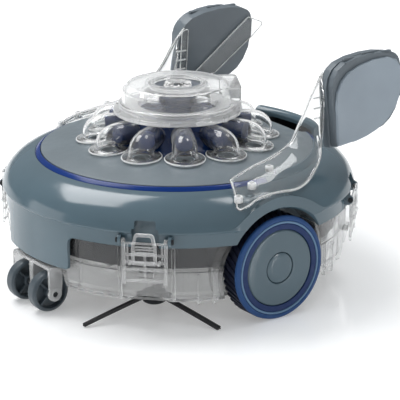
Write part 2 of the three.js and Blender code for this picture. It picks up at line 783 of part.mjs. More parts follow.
function addWings() {
  for (const [name, side] of Object.entries(SIDES)) {
    addPart(`wing_arm_${name}`, mirrored(toGeometry(wingArm()), side), 'clear_plastic');
    addPart(`float_pad_${name}`, mirrored(toGeometry(floatPad()), side), 'pad_grey');
  }
}

function mirrored(geometry, side) {
  if (side > 0) return geometry;
  geometry.scale(-1, 1, 1);
  geometry.setIndex([...geometry.index.array].reverse());
  return geometry;
}

// ---- assembly ----
addInside();
addPart('top_shell', topShell(), 'shell_grey');
addPart('rear_handle', rearHandle(), 'shell_grey');
addPart('deck_cover', deckCover(), 'deck_grey');
addPart('accent_ring', accentRing(), 'accent_blue');
addPump();
addTubes();
addRearPorts();
addDriveWheel('left', SIDES.left);
addDriveWheel('right', SIDES.right);
addCasters();
addBrushes();
addLatches();
addWings();

export default group;
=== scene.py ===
"""Looks of the pool cleaner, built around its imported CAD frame.

Shapes are written in millimetres and scaled to metres when their mesh is made.
+Z is up, the front is -Y and the machine's left is +X.
"""

import math
import random

import bmesh
import bpy
from mathutils import Matrix, Vector


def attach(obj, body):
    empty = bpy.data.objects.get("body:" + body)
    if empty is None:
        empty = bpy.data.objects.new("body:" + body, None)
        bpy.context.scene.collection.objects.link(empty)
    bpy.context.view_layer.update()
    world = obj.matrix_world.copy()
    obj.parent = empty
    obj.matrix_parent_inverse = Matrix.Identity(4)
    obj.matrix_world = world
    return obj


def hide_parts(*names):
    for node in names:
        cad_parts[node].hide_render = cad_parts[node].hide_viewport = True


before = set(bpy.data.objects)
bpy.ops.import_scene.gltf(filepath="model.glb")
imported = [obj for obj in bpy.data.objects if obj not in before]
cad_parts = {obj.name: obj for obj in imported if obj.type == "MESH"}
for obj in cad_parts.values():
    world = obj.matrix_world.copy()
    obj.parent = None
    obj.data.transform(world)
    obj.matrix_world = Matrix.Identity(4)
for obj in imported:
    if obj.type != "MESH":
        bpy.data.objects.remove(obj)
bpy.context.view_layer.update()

# ---- driving sizes, in millimetres ----
MM = 0.001
ROUND = 200
WALL = 3.0
LIP_R, LIP_Z = 200.0, 113.0
BAND_R, BAND_Z = 196.5, 95.0
SKIRT_Z, SKIRT_HALF = 57.0, 60.7
RING_IN, RING_OUT = (156.1, 151.6), (161.8, 146.6)
DECK_TOP_Z = 160.9
TRAY_R, TRAY_TOP_Z, TRAY_LOW_Z, TRAY_LEDGE_Z = 190.0, 97.0, 27.0, 66.0
WHEEL_Z, WHEEL_R, WELL_R, WELL_X = 58.3, 58.3, 66.0, 158.0
WHEEL_IN, WHEEL_OUT = 165.5, 192.0
FENDER_R, FENDER_X = 79.5, 191.5
CASTER_Y, CASTER_X, CASTER_R, CASTER_HALF = 190.0, 22.75, 22.7, 7.5
TUBE_COUNT, TUBE_RING_R, TUBE_R, FLANGE_R, SEAT_Z = 12, 93.0, 14.0, 22.2, 160.3
NOZZLE_TURN = 60.0
LATCHES = {"front_left": -45, "rear_left": 45, "rear_right": 135, "front_right": -135}
SIDES = {"left": 1, "right": -1}
BRUSH_TURN = {"left": 21, "right": 60}
PAD_LEAN, PAD_PIVOT = 0.09, (135.0, 220.0)


# ---- outlines ----
def rounded(points, radius=1.0, closed=True, steps=4):
    """An outline with its corners rounded. A point may carry its own radius as a third number."""
    result = []
    count = len(points)
    for i, point in enumerate(points):
        here = Vector(point[:2])
        size = point[2] if len(point) > 2 else radius
        at_end = not closed and i in (0, count - 1)
        u = Vector(points[i - 1][:2]) - here
        v = Vector(points[(i + 1) % count][:2]) - here
        half = u.angle(v, math.pi) / 2
        if at_end or size == 0 or half > 1.5:
            result.append(tuple(here))
            continue
        reach = min(size / math.tan(half), 0.48 * u.length, 0.48 * v.length)
        start, end = here + u.normalized() * reach, here + v.normalized() * reach
        for k in range(steps + 1):
            t = k / steps
            result.append(tuple(start.lerp(here, t).lerp(here.lerp(end, t), t)))
    return result


def spline(points, per_span=5):
    """A smooth curve through points of any dimension (Catmull-Rom)."""
    ends = [points[0], *points, points[-1]]
    result = []
    for i in range(1, len(ends) - 2):
        p0, p1, p2, p3 = (Vector(p) for p in ends[i - 1:i + 3])
        for k in range(per_span):
            t = k / per_span
            a = 2 * p1 + (p2 - p0) * t
            b = (2 * p0 - 5 * p1 + 4 * p2 - p3) * t * t
            c = (3 * p1 - p0 - 3 * p2 + p3) * t ** 3
            result.append(tuple((a + b + c) / 2))
    return result + [tuple(points[-1])]


# ---- solids ----
def new_object(name, bm):
    bmesh.ops.remove_doubles(bm, verts=bm.verts, dist=1e-4)
    bmesh.ops.recalc_face_normals(bm, faces=bm.faces)
    bmesh.ops.scale(bm, vec=(MM, MM, MM), verts=bm.verts)
    mesh = bpy.data.meshes.new(name)
    bm.to_mesh(mesh)
    bm.free()
    obj = bpy.data.objects.new(name, mesh)
    bpy.context.scene.collection.objects.link(obj)
    return obj


def skin(name, rows, close_rows=False, close_columns=False):
    """A surface through a grid of points. Either direction may close on itself."""
    bm = bmesh.new()
    grid = [[bm.verts.new(p) for p in row] for row in rows]
    height, width = len(grid), len(grid[0])
    for i in range(height if close_rows else height - 1):
        for j in range(width if close_columns else width - 1):
            a, b = grid[i], grid[(i + 1) % height]
            bm.faces.new((a[j], b[j], b[(j + 1) % width], a[(j + 1) % width]))
    bmesh.ops.remove_doubles(bm, verts=bm.verts, dist=1e-4)
    bmesh.ops.dissolve_degenerate(bm, edges=bm.edges, dist=1e-5)
    return new_object(name, bm)


AXES = {
    "z": lambda a, b, h: (a, b, h),
    "x": lambda a, b, h: (h, a, b),
    "y": lambda a, b, h: (a, h, b),
}


def revolve(name, profile, closed=False, segments=ROUND, axis="z"):
    """A solid of revolution. An open profile of (radius, height) starts and ends on the axis."""
    turns = [(math.cos(t), math.sin(t)) for t in (2 * math.pi * k / segments for k in range(segments))]
    rows = [[AXES[axis](r * c, r * s, h) for c, s in turns] for r, h in profile]
    return skin(name, rows, close_rows=closed, close_columns=True)


def disc(name, radius, low, high, axis="z", edge=0.5, segments=48):
    profile = rounded([(0, low), (radius, low), (radius, high), (0, high)], edge, closed=False, steps=3)
    return revolve(name, profile, segments=segments, axis=axis)


def prism(name, outline, low, high, axis="z", edge=0.0, segments=3):
    """An outline swept along an axis, with its two rims bevelled."""
    bm = bmesh.new()
    caps = [[bm.verts.new(AXES[axis](a, b, h)) for a, b in outline] for h in (low, high)]
    count = len(outline)
    for k in range(count):
        after = (k + 1) % count
        bm.faces.new((caps[0][k], caps[0][after], caps[1][after], caps[1][k]))
    rims = []
    for cap in caps:
        face = bm.faces.new(cap)
        rims += face.edges
    if edge:
        bmesh.ops.bevel(bm, geom=rims, offset=edge, segments=segments, profile=0.5,
                        affect="EDGES", clamp_overlap=True)
    return new_object(name, bm)


def block(name, low, high, edge=0.6):
    corners = [(low[0], low[1]), (high[0], low[1]), (high[0], high[1]), (low[0], high[1])]
    outline = rounded(corners, edge, steps=3) if edge else corners
    return prism(name, outline, low[2], high[2], "z", edge)


def tube(name, path, radius, segments=12, closed_path=False):
    """A round bar along a path of points. The radius may be one number or one for each point."""
    points = [Vector(p) for p in path]
    count = len(points)
    radii = radius if isinstance(radius, list) else [radius] * count
    rows = []
    side = None
    for i, point in enumerate(points):
        before = points[i - 1] if i or closed_path else point
        after = points[(i + 1) % count] if i < count - 1 or closed_path else point
        along = (after - before).normalized()
        if side is None:
            side = along.orthogonal().normalized()
        side = (side - along * side.dot(along)).normalized()
        other = along.cross(side)
        ring = [2 * math.pi * k / segments for k in range(segments)]
        rows.append([tuple(point + (side * math.cos(t) + other * math.sin(t)) * radii[i]) for t in ring])
    if not closed_path:
        rows = [[tuple(points[0])] * segments, *rows, [tuple(points[-1])] * segments]
    return skin(name, rows, close_rows=closed_path, close_columns=True)


def middle_of(row):
    return tuple(sum((Vector(p) for p in row), Vector()) / len(row))


# ---- moving and joining ----
def moved(obj, x=0.0, y=0.0, z=0.0):
    obj.data.transform(Matrix.Translation((x * MM, y * MM, z * MM)))
    return obj


def turned(obj, degrees, axis="Z"):
    obj.data.transform(Matrix.Rotation(math.radians(degrees), 4, axis))
    return obj


def mirrored(obj):
    obj.data.transform(Matrix.Scale(-1, 4, (1, 0, 0)))
    obj.data.flip_normals()
    return obj


def applied(obj):
    """Makes the object's modifiers part of its mesh."""
    graph = bpy.context.evaluated_depsgraph_get()
    mesh = bpy.data.meshes.new_from_object(obj.evaluated_get(graph))
    obj.modifiers.clear()
    obj.data = mesh
    return obj


def boolean(obj, others, operation):
    for other in others:
        modifier = obj.modifiers.new(operation, "BOOLEAN")
        modifier.operation = operation
        modifier.solver = "MANIFOLD"
        modifier.object = other
    applied(obj)
    for other in others:
        bpy.data.objects.remove(other)
    return obj


def union(obj, *others):
    return boolean(obj, others, "UNION")


def without(obj, *others):
    return boolean(obj, others, "DIFFERENCE")


def within(obj, *others):
    return boolean(obj, others, "INTERSECT")


def gathered(name, objects):
    """Several solids as the one mesh of one piece."""
    bm = bmesh.new()
    for obj in objects:
        bm.from_mesh(obj.data)
        bpy.data.objects.remove(obj)
    mesh = bpy.data.meshes.new(name)
    bm.to_mesh(mesh)
    bm.free()
    result = bpy.data.objects.new(name, mesh)
    bpy.context.scene.collection.objects.link(result)
    return result


def finished(obj, body, material, nodes=(), sharp=34):
    """Smooths a piece, gives it its material and lets it ride on its CAD body."""
    obj.data.shade_smooth()
    obj.data.set_sharp_from_angle(angle=math.radians(sharp))
    obj.data.materials.clear()
    obj.data.materials.append(material)
    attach(obj, body)
    if nodes:
        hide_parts(*nodes)
    return obj


# ---- materials ----
def linear(red, green, blue):
    """A colour of 0 to 255 in sRGB as linear values."""
    return tuple((c / 255 / 12.92 if c < 11 else ((c / 255 + 0.055) / 1.055) ** 2.4) for c in (red, green, blue))


class Nodes:
    """A short way to write a material's nodes."""

    def __init__(self, name):
        self.material = bpy.data.materials.new(name)
        self.material.use_nodes = True
        self.tree = self.material.node_tree
        self.shader = self.tree.nodes["Principled BSDF"]
        self.place = self.add("TexCoord").outputs["Object"]

    def add(self, kind, **inputs):
        node = self.tree.nodes.new("ShaderNode" + kind)
        for key, value in inputs.items():
            self.feed(node.inputs[key.replace("_", " ")], value)
        return node

    def feed(self, socket, value):
        if isinstance(value, bpy.types.NodeSocket):
            self.tree.links.new(value, socket)
        else:
            socket.default_value = value

    def noise(self, scale, detail=2.0):
        return self.add("TexNoise", Vector=self.place, Scale=scale, Detail=detail).outputs["Fac"]

    def ramp(self, value, low, high, start=0.35, end=0.65):
        node = self.add("MapRange", Value=value, From_Min=start, From_Max=end, To_Min=low, To_Max=high)
        return node.outputs["Result"]

    def colours(self, factor, first, second):
        node = self.add("Mix")
        node.data_type = "RGBA"
        self.feed(node.inputs["Factor"], factor)
        self.feed(node.inputs["A"], (*first, 1) if isinstance(first, tuple) else first)
        self.feed(node.inputs["B"], (*second, 1) if isinstance(second, tuple) else second)
        return node.outputs["Result"]

    def bump(self, height, depth, edge=0.0):
        node = self.add("Bump", Height=height, Distance=depth, Strength=1.0)
        if edge:
            self.feed(node.inputs["Normal"], self.add("Bevel", Radius=edge * MM).outputs["Normal"])
        self.feed(self.shader.inputs["Normal"], node.outputs["Normal"])

    def set(self, **inputs):
        for key, value in inputs.items():
            self.feed(self.shader.inputs[key.replace("_", " ")], value)


def plastic(name, colour, rough, grain=2600.0, depth=0.00002, edge=0.5, mottle=0.06, specular=0.5, coat=0.0):
    """Moulded opaque plastic: fine grain, faint flow marks and softened edges."""
    n = Nodes(name)
    dark = tuple(c * (1 - mottle) for c in colour)
    light = tuple(min(1.0, c * (1 + mottle)) for c in colour)
    n.set(
        Base_Color=n.colours(n.ramp(n.noise(14.0, 4.0), 0, 1), dark, light),
        Roughness=n.ramp(n.noise(90.0, 3.0), rough * 0.85, rough * 1.18),
        Specular_IOR_Level=specular,
        Coat_Weight=coat,
        Coat_Roughness=0.08,
    )
    n.bump(n.noise(grain, 1.0), depth, edge)
    return n.material


def clear(name, tint=(0.95, 0.955, 0.955), rough=0.03, ripple=0.00002, haze=0.02, rim=0.5, painted_light_below=0.0):
    """Clear moulded polycarbonate: faint flow ripples, a little haze and pale edges.

    The value given for the tray adds haze below its ledge: painted light that whitens the tray's lower zone.
    """
    n = Nodes(name)
    edge = n.add("LayerWeight", Blend=0.5).outputs["Facing"]
    passing = n.ramp(edge, 1.0 - haze, 1.0 - haze - rim, 0.6, 1.0)
    # Haze below the tray's ledge is painted light that whitens the lower zone.
    if painted_light_below:
        height = n.add("SeparateXYZ", Vector=n.place).outputs["Z"]
        painted_light_share = n.ramp(height, 1.0 - painted_light_below, 1.0, (TRAY_LEDGE_Z - 4) * MM, TRAY_LEDGE_Z * MM)
        product = n.add("Math")
        product.operation = "MULTIPLY"
        n.feed(product.inputs[0], passing)
        n.feed(product.inputs[1], painted_light_share)
        passing = product.outputs["Value"]
    n.set(
        Base_Color=(*tint, 1),
        Roughness=n.ramp(n.noise(120.0, 3.0), rough * 0.6, rough * 1.6),
        Transmission_Weight=passing,
        IOR=1.36,
    )
    n.bump(n.noise(45.0, 2.0), ripple)
    return n.material


def rubber(name, colour, rough=0.6, dust=0.18):
    """Moulded rubber with a fine matt grain and pale scuffing."""
    n = Nodes(name)
    pale = tuple(c + (0.35 - c) * dust for c in colour)
    n.set(
        Base_Color=n.colours(n.ramp(n.noise(55.0, 6.0), 0, 1, 0.5, 0.75), colour, pale),
        Roughness=n.ramp(n.noise(160.0, 3.0), rough * 0.85, rough * 1.15),
        Specular_IOR_Level=0.35,
    )
    n.bump(n.noise(1800.0, 2.0), 0.00004, 0.5)
    return n.material


def steel(name):
    """Brushed stainless steel, with its brushing round the rod."""
    n = Nodes(name)
    stretched = n.add("Mapping", Vector=n.place)
    stretched.inputs["Scale"].default_value = (900.0, 30.0, 30.0)
    lines = n.add("TexNoise", Vector=stretched.outputs["Vector"], Scale=1.0, Detail=2.0).outputs["Fac"]
    n.set(Base_Color=(0.56, 0.57, 0.59, 1), Metallic=1.0, Roughness=n.ramp(lines, 0.22, 0.42))
    n.bump(lines, 0.00001)
    return n.material


def bristle(name):
    n = Nodes(name)
    n.set(
        Base_Color=n.colours(n.noise(700.0, 2.0), (0.004, 0.004, 0.005), (0.03, 0.03, 0.033)),
        Roughness=0.5,
    )
    n.bump(n.noise(2400.0, 1.0), 0.00005)
    return n.material


SHELL = plastic("shell_plastic", linear(79, 98, 108), 0.14, depth=0.000003)
DECK = plastic("deck_plastic", linear(104, 114, 120), 0.36, depth=0.00002)
BLUE = plastic("ring_plastic", linear(0, 44, 112), 0.2, depth=0.000003, specular=0.22)
NAVY = plastic("housing_plastic", linear(2, 32, 78), 0.25, depth=0.00001, specular=0.35)
PAD = plastic("pad_plastic", linear(140, 151, 161), 0.42, depth=0.00002)
PAD_RIM = plastic("pad_rim_plastic", linear(94, 103, 110), 0.4, depth=0.00002)
DARK = plastic("dark_plastic", linear(26, 29, 33), 0.5, specular=0.3)
BAY = plastic("bay_plastic", linear(15, 18, 26), 0.7, specular=0.1)
CASTER = plastic("caster_plastic", linear(66, 76, 83), 0.4)
CLEAR = clear("clear_plastic")
CLEAR_FINE = clear("clear_fine_plastic", rough=0.02, haze=0.0)
WING_CLEAR = clear("wing_plastic", tint=(0.87, 0.88, 0.88), rough=0.03, haze=0.025, rim=0.6)
# The tray's extra haze below its ledge is painted light that whitens its lower zone.
TRAY = clear("tray_plastic", rough=0.03, haze=0.02, rim=0.85, painted_light_below=0.1)
LATCH = clear("latch_plastic", rough=0.05, haze=0.15, rim=0.65)
FORK = clear("fork_plastic", rough=0.08, haze=0.27, rim=0.45)
MILKY = clear("milky_plastic", rough=0.04, haze=0.07, rim=0.6)
SMOKED = clear("base_plastic", rough=0.05, haze=0.25, rim=0.4)
FROSTED = clear("frosted_edge", rough=0.3, haze=0.75, rim=0.2)
TYRE = rubber("tyre_rubber", linear(30, 68, 118), dust=0.04)
BEAD = rubber("bead_rubber", linear(98, 128, 158), dust=0.05)
HOLLOW = rubber("hollow_rubber", linear(22, 46, 92), dust=0.03)
TREAD = rubber("tread_rubber", linear(8, 15, 38), dust=0.03)
SEAL = rubber("seal_rubber", linear(92, 98, 106), dust=0.03)
BRISTLE = bristle("brush_bristle")
STEEL = steel("rod_steel")


# ---- top shell ----
def dome_profile(inset=0.0):
    outside = [(LIP_R, 113.6), (196.5, 123), (190.5, 131.5), (182, 138.5), (172, 143.5), (162.3, 146.5)]
    return spline([(r - inset, z - inset * 0.9) for r, z in outside], 6)


def well(side, growth=0.0):
    mouth = 225.0
    near = WELL_X - growth
    profile = [(0, near), (WELL_R + growth, near), (WELL_R + growth, 188), (WELL_R + growth + 2.2, 191), (WELL_R + growth + 2.2, mouth), (0, mouth)]
    cutter = revolve("well", [(r, side * x) for r, x in profile], segments=96, axis="x")
    return moved(cutter, z=WHEEL_Z)


def arch_height(y):
    """Top of the wheel arch at y, running smoothly into the shell's lip."""
    circle = WHEEL_Z + math.sqrt(max(FENDER_R ** 2 - y * y, 0))
    return (circle + LIP_Z + math.sqrt((circle - LIP_Z) ** 2 + 49)) / 2


def fender(side):
    half = 84
    top = [(y, arch_height(y)) for y in range(-half, half + 1, 4)]
    outline = [(-half, 112.7), *top, (half, 112.7)]
    low, high = sorted((side * 120, side * FENDER_X))
    arch = prism("fender", outline, low, high, "x", edge=2.6, segments=4)
    return within(arch, revolve("keep", [(0, 100), (LIP_R - 0.1, 100), (LIP_R - 0.1, 150), (0, 150)]))


def recess(angle, growth=0.0):
    half, step, waist, top = 14.5 + growth, 11.5 + growth, 116 + growth, 124.5 + growth
    outline = [(-half, 90), (half, 90), (half, waist), (step, waist), (step, top, 2.5), (-step, top, 2.5),
               (-step, waist), (-half, waist)]
    return turned(prism("recess", rounded(outline, 1.0), 186 - growth, 215, "x"), angle)


def pocket(growth=0.0):
    half = 48 + growth
    return block("pocket", (-half, 137 - growth, 126 - growth), (half, 179 + growth, 175), 4)


def lug(angle, side):
    body = prism("lug", rounded([(194, 98), (199, 98), (203, 102, 3), (203, 106.5, 3), (199, 109), (194, 109)], 0.8),
                 27 * side - 1.8, 27 * side + 1.8, "y", edge=0.5)
    low, high = sorted((20 * side, 34 * side))
    return turned(without(body, moved(disc("hole", 2.3, low, high, "y", 0), x=200, z=104)), angle)


def skirt(side):
    band = revolve("skirt", [(BAND_R - WALL, SKIRT_Z - 1), (BAND_R, SKIRT_Z - 1), (BAND_R, 97), (BAND_R - WALL, 97)], closed=True)
    half, flare = SKIRT_HALF, 84
    outline = [(-half, SKIRT_Z, 5), (half, SKIRT_Z, 5), (half, BAND_Z, 9), (flare, BAND_Z, 0), (flare, 96.8, 0),
               (-flare, 96.8, 0), (-flare, BAND_Z, 0), (-half, BAND_Z, 9)]
    low, high = sorted((side * 150, side * 210))
    return within(band, prism("keep", rounded(outline, steps=6), low, high, "y"))


PORTS = {"button": (96, 7.0, 78), "cap": (84, 9.0, 78)}


def port_disc(name, port, low, high, growth=0.0, edge=0.5):
    angle, radius, z = PORTS[port]
    return turned(moved(disc(name, radius + growth, low, high, "x", edge), z=z), angle)


def top_shell():
    angles = LATCHES.values()
    lip = [(BAND_R, BAND_Z), (BAND_R, 109.6), (199, 110.6), (LIP_R + 0.1, 112)]
    outside = [(0, BAND_Z), *rounded(lip, 0.8, closed=False), *dome_profile(), (0, 146.5)]
    inside = [(0, 94), (193.5, 94), (193.5, 111), *dome_profile(WALL), (0, 142.6)]
    shell = union(revolve("top_shell_cover", outside, segments=288), fender(1), fender(-1))
    facets = [block("facet", (min(s * FENDER_X, s * 230), -59, 80), (max(s * FENDER_X, s * 230), 59, 131), 0) for s in (1, -1)]
    hollow = without(
        revolve("hollow", inside),
        well(1, WALL), well(-1, WALL), pocket(WALL), *[recess(a, WALL) for a in angles],
    )
    opening = without(disc("opening", 148, 90, 170, edge=0, segments=ROUND), pocket(WALL))
    without(
        shell, *facets, hollow, opening, disc("seat", 162.2, 144.6, 170, edge=0, segments=ROUND),
        well(1), well(-1), pocket(), disc("tray_room", 191.8, 90, 97.3, edge=0, segments=ROUND),
        *[recess(a) for a in angles],
    )
    ports = [port_disc("port", name, 180, 210, 0.5, 0) for name in PORTS]
    rear = without(skirt(1), *ports)
    union(shell, skirt(-1), rear, *[lug(a, s) for a in angles for s in (1, -1)])
    return finished(shell, "body", SHELL, ["top_shell"])


# ---- deck, ring and handle ----
def around(make):
    """One turned copy of a piece for each outlet tube."""
    return [turned(make(), 360 * k / TUBE_COUNT) for k in range(TUBE_COUNT)]


def deck_cover():
    profile = [(80.3, 158), (151, 148.2), (151, 145.2), (155.6, 145.2), (155.6, 151.2, 0.8), (108, 158.9, 40),
               (84, DECK_TOP_Z, 2), (80.3, DECK_TOP_Z)]
    deck = revolve("deck_panel", rounded(profile, 0.4), closed=True)
    holes = around(lambda: moved(disc("hole", 10.5, 140, 175, edge=0), x=TUBE_RING_R))
    without(deck, pocket(0.3), *holes)
    finished(deck, "body", DECK, ["deck_cover"])


def accent_ring():
    (inner, top), (outer, low) = RING_IN, RING_OUT
    profile = [(inner, 145.2), (outer, 145.2), (outer, low, 1.4), (inner, top, 1.4)]
    ring = without(revolve("blue_ring", rounded(profile, 0.5), closed=True), pocket(0.3))
    finished(ring, "body", BLUE, ["accent_ring"])


def rear_handle():
    section = rounded([(164, 141), (178, 136), (178, 153.5, 4), (173.5, 157.8, 4), (167, 157.8, 4), (164, 154, 3)], 1.5)
    bar = revolve("carry_handle", section, closed=True)
    within(bar, block("keep", (-58, 140, 120), (58, 190, 170), 6))
    room = revolve("room", [(0, 90), (BAND_R, 90), *[(r + 0.3, z + 0.3) for r, z in dome_profile()], (0, 147)])
    grip = block("grip", (-48, 120, 120), (48, 200, 149), 5)
    without(bar, room, grip)
    grooves = [block("groove", (x - 1, 176.6, 150), (x + 1, 182, 156), 0.4) for x in range(-36, 37, 8)]
    without(bar, *grooves)
    finished(bar, "body", SHELL, ["rear_handle"])


def handle_well_shade():
    """A dark cup under the handle, inside the shell's pocket: painted shade that darkens the pocket."""
    shade_cup = without(pocket(-0.3), block("hollow", (-46.6, 138.4, 127.4), (46.6, 177.6, 180), 3))
    room = revolve("room", [(RING_OUT[0], 144), (250, 144), (250, 200), (0, 200), (0, 150), (RING_IN[0], 150)], closed=True)
    without(shade_cup, room)
    # Dark plastic here is painted shade for the depth of the pocket.
    finished(shade_cup, "body", DARK)
    shade_cup.name = "handle_well_painted_shade"


# ---- clear elbow tubes ----
ELBOW = [(93.1, 162.6, -4, 16.5), (93.3, 163.6, -3, 14.6), (93.9, 167, 4, 14.2), (92.8, 171, 22, 14.1),
         (89.2, 174.5, 46, 13.9), (83, 176.2, 68, 13.6), (72, 176.8, 84, 13.3), (59.4, 177, 90, 13.0)]


def elbow_rings(shrink, segments=40):
    rows = []
    for x, z, tilt, radius in spline(ELBOW, 4):
        lean = math.radians(tilt)
        ring = [2 * math.pi * k / segments for k in range(segments)]
        out = [(radius - shrink) * math.cos(t) for t in ring]
        rows.append([
            (x + o * math.cos(lean), (radius - shrink) * math.sin(t), z + o * math.sin(lean))
            for o, t in zip(out, ring)
        ])
    return rows


def flange_rings(radii, segments=40):
    rows = []
    lean = math.radians(-4)
    for radius, lift in radii:
        ring = [2 * math.pi * k / segments for k in range(segments)]
        rows.append([
            (TUBE_RING_R + radius * math.cos(t) * math.cos(lean), radius * math.sin(t),
             SEAT_Z + lift + radius * math.cos(t) * math.sin(lean))
            for t in ring
        ])
    return rows


def elbow():
    flange = flange_rings([(12.4, 0), (21.4, 0), (22.2, 0.5), (22.4, 1.2), (22.2, 1.9), (21.4, 2.3), (17.6, 2.3)])
    return skin("elbow", [*flange, *elbow_rings(0), *elbow_rings(1.9)[::-1]], close_rows=True, close_columns=True)


def elbow_rim():
    """The pale moulded edge of an elbow's flange."""
    rim = revolve("rim", rounded([(21.6, 1.6), (22.6, 0.6), (22.9, 1.4), (22.2, 2.9)], 0.3), closed=True, segments=72)
    lean = turned(rim, 4, "Y")
    return moved(lean, TUBE_RING_R, 0, SEAT_Z)


def spout():
    """The blue spout of the housing that runs into an elbow."""
    rows = [row for row in elbow_rings(3.4) if row[0][2] > 0 and min(p[2] for p in row) > 161.5]
    caps = [[middle_of(row)] * len(row) for row in (rows[0], rows[-1])]
    return skin("spout", [caps[0], *rows, caps[1]], close_columns=True)


def outlet_tubes():
    finished(gathered("elbow_rims", around(elbow_rim)), "body", FROSTED)
    spouts = within(gathered("housing_spouts", around(spout)), disc("keep", 83, 150, 195, edge=0, segments=ROUND))
    finished(spouts, "body", NAVY)
    for k, tube_piece in enumerate(around(elbow)):
        number = f"{k + 1:02d}"
        tube_piece.name = f"clear_elbow_{number}"
        finished(tube_piece, "body", CLEAR, [f"outlet_tube_{number}"], 50)


# ---- motor housing, column, turntable and nozzle ----
def elbow_room():
    """The space of one elbow with its flange, a little larger than the elbow."""
    rows = elbow_rings(-0.5)
    caps = [[tuple(sum((Vector(p) for p in row), Vector()) / len(row))] * len(row) for row in (rows[0], rows[-1])]
    solid = skin("room", [caps[0], *rows, caps[1]], close_columns=True)
    seat = moved(disc("seat", FLANGE_R + 0.6, 150, SEAT_Z + 2.8, edge=0), x=TUBE_RING_R)
    return [solid, seat]


def motor_housing():
    outer = spline([(84, DECK_TOP_Z + 0.1), (77, 163.4), (69, 169), (62.5, 177), (58.5, 186), (57.5, 190.4)], 5)
    profile = [(15.6, 187.4), (54, 187.4), (54, 160), (60, 158), (80, 158), *outer, (15.6, 190.4)]
    housing = revolve("pump_housing", profile, closed=True)
    rooms = [turned(solid, 360 * k / TUBE_COUNT) for k in range(TUBE_COUNT) for solid in elbow_room()]
    mouths = around(lambda: moved(disc("mouth", 9.5, 48, 66, "x", 0), z=176.5))
    without(housing, *rooms, *mouths)
    finished(housing, "body", NAVY, ["motor_housing"])


def nozzle_column():
    rings = []
    for z in (197, 203.5, 208.5, 213.5):
        top = min(z + 2.6, 215)
        reach = 20.5 if z < 200 else 21.5
        rings.append(revolve("rib", rounded([(17.5, z), (reach, z), (reach, top), (17.5, top)], 0.8), closed=True, segments=64))
    pipe = revolve("spray_column", rounded([(15.6, 190.9), (17.4, 190.9), (17.4, 215), (15.6, 215)], 0.6), closed=True, segments=64)
    finished(gathered("spray_column", [pipe, *rings]), "body", NAVY, ["nozzle_column"])


def turntable_ring():
    profile = rounded([(45, 191), (72.8, 191, 1.2), (72.8, 195.6, 1.6), (66.5, 197, 1), (66.5, 200, 0.8), (45, 200)], 0.6)
    ring = revolve("turntable_plate", profile, closed=True)
    slots = [turned(block("slot", (68.5, -4, 189), (70.8, 4, 203), 0.5), 30 * k + 15) for k in range(12)]
    without(ring, *slots)
    finished(ring, "body", SMOKED, ["turntable_ring"])


def snout(shrink, low):
    outline = rounded([(0, -24.5 + shrink), (70 + shrink, -24.5 + shrink, 4), (70 + shrink, 35.5 - shrink, 4), (0, 35.5 - shrink)], 1)
    return prism("snout", outline, low, 222 - shrink, "z", edge=3.2 if not shrink else 1.6, segments=4)


def nozzle_head():
    wall = 2.5
    outer = rounded([(0, 200.6), (63.4, 200.6, 0.8), (62.6, 217.2, 4), (56, 223.4, 5), (46, 224.5, 4), (31, 224.5, 1.2),
                     (28.4, 223, 1), (28.4, 219, 1), (0, 219)], 1, closed=False, steps=6)
    inner = rounded([(0, 190), (60.4, 190), (60, 215.8, 4), (54, 220.9, 4), (46, 221.9, 3), (33, 221.9, 2), (31, 220, 1),
                     (31, 216.5), (0, 216.5)], 1, closed=False, steps=6)
    plug = [(0, 216.5), (31, 216.5), (31, 224), (0, 224)]
    body = union(revolve("spray_head", outer, segments=128), snout(0, 200.6))
    base = revolve("base", rounded([(59, 200.6), (66, 200.6), (66, 203.2, 1), (59, 203.2)], 0.5), closed=True, segments=128)
    union(body, base)
    mouth = without(snout(wall, 190), revolve("plug", plug, segments=128))
    cup = disc("cup", 28.4, 219, 235, edge=0, segments=128)
    without(body, revolve("hollow", inner, segments=128), mouth, cup)
    vanes = [block("vane", (52, y - 0.8, 203), (68, y + 0.8, 219.8), 0.2) for y in (-9, 5.5, 20)]
    union(body, *vanes)
    turned(body, NOZZLE_TURN)
    finished(body, "nozzle", MILKY, ["nozzle_head"], 40)
    guide = revolve("flow_guide", rounded([(36, 202.6), (38.2, 202.6), (38.2, 213.4), (36, 213.4)], 0.6), closed=True, segments=96)
    within(guide, block("keep", (-40, 9, 195), (40, 42, 220), 0))
    finished(turned(guide, NOZZLE_TURN), "nozzle", FROSTED)
    seal = revolve("knob_seal", rounded([(17, 219.1), (27.6, 219.1), (27.6, 220, 0.4), (17, 220, 0.4)], 0.2), closed=True)
    finished(seal, "nozzle", SEAL)
    rim = revolve("cup_rim", rounded([(27.7, 221), (28.6, 221), (30.4, 224.3), (30.2, 225), (28.2, 224.8)], 0.3), closed=True)
    finished(rim, "nozzle", SMOKED)


def nozzle_knob():
    profile = rounded([(0, 219.4), (16, 219.4, 0.6), (15.4, 223.4, 1.4), (11.5, 225.8, 1.6), (7, 225.2, 1), (0, 224.8)], 1, closed=False)
    knob = revolve("spray_knob", profile, segments=96)
    notches = [turned(moved(disc("notch", 1.3, 222, 230, edge=0, segments=12), x=15.2), 30 * k) for k in range(12)]
    without(knob, *notches)
    finished(turned(knob, NOZZLE_TURN), "nozzle", CLEAR_FINE, ["nozzle_knob"])


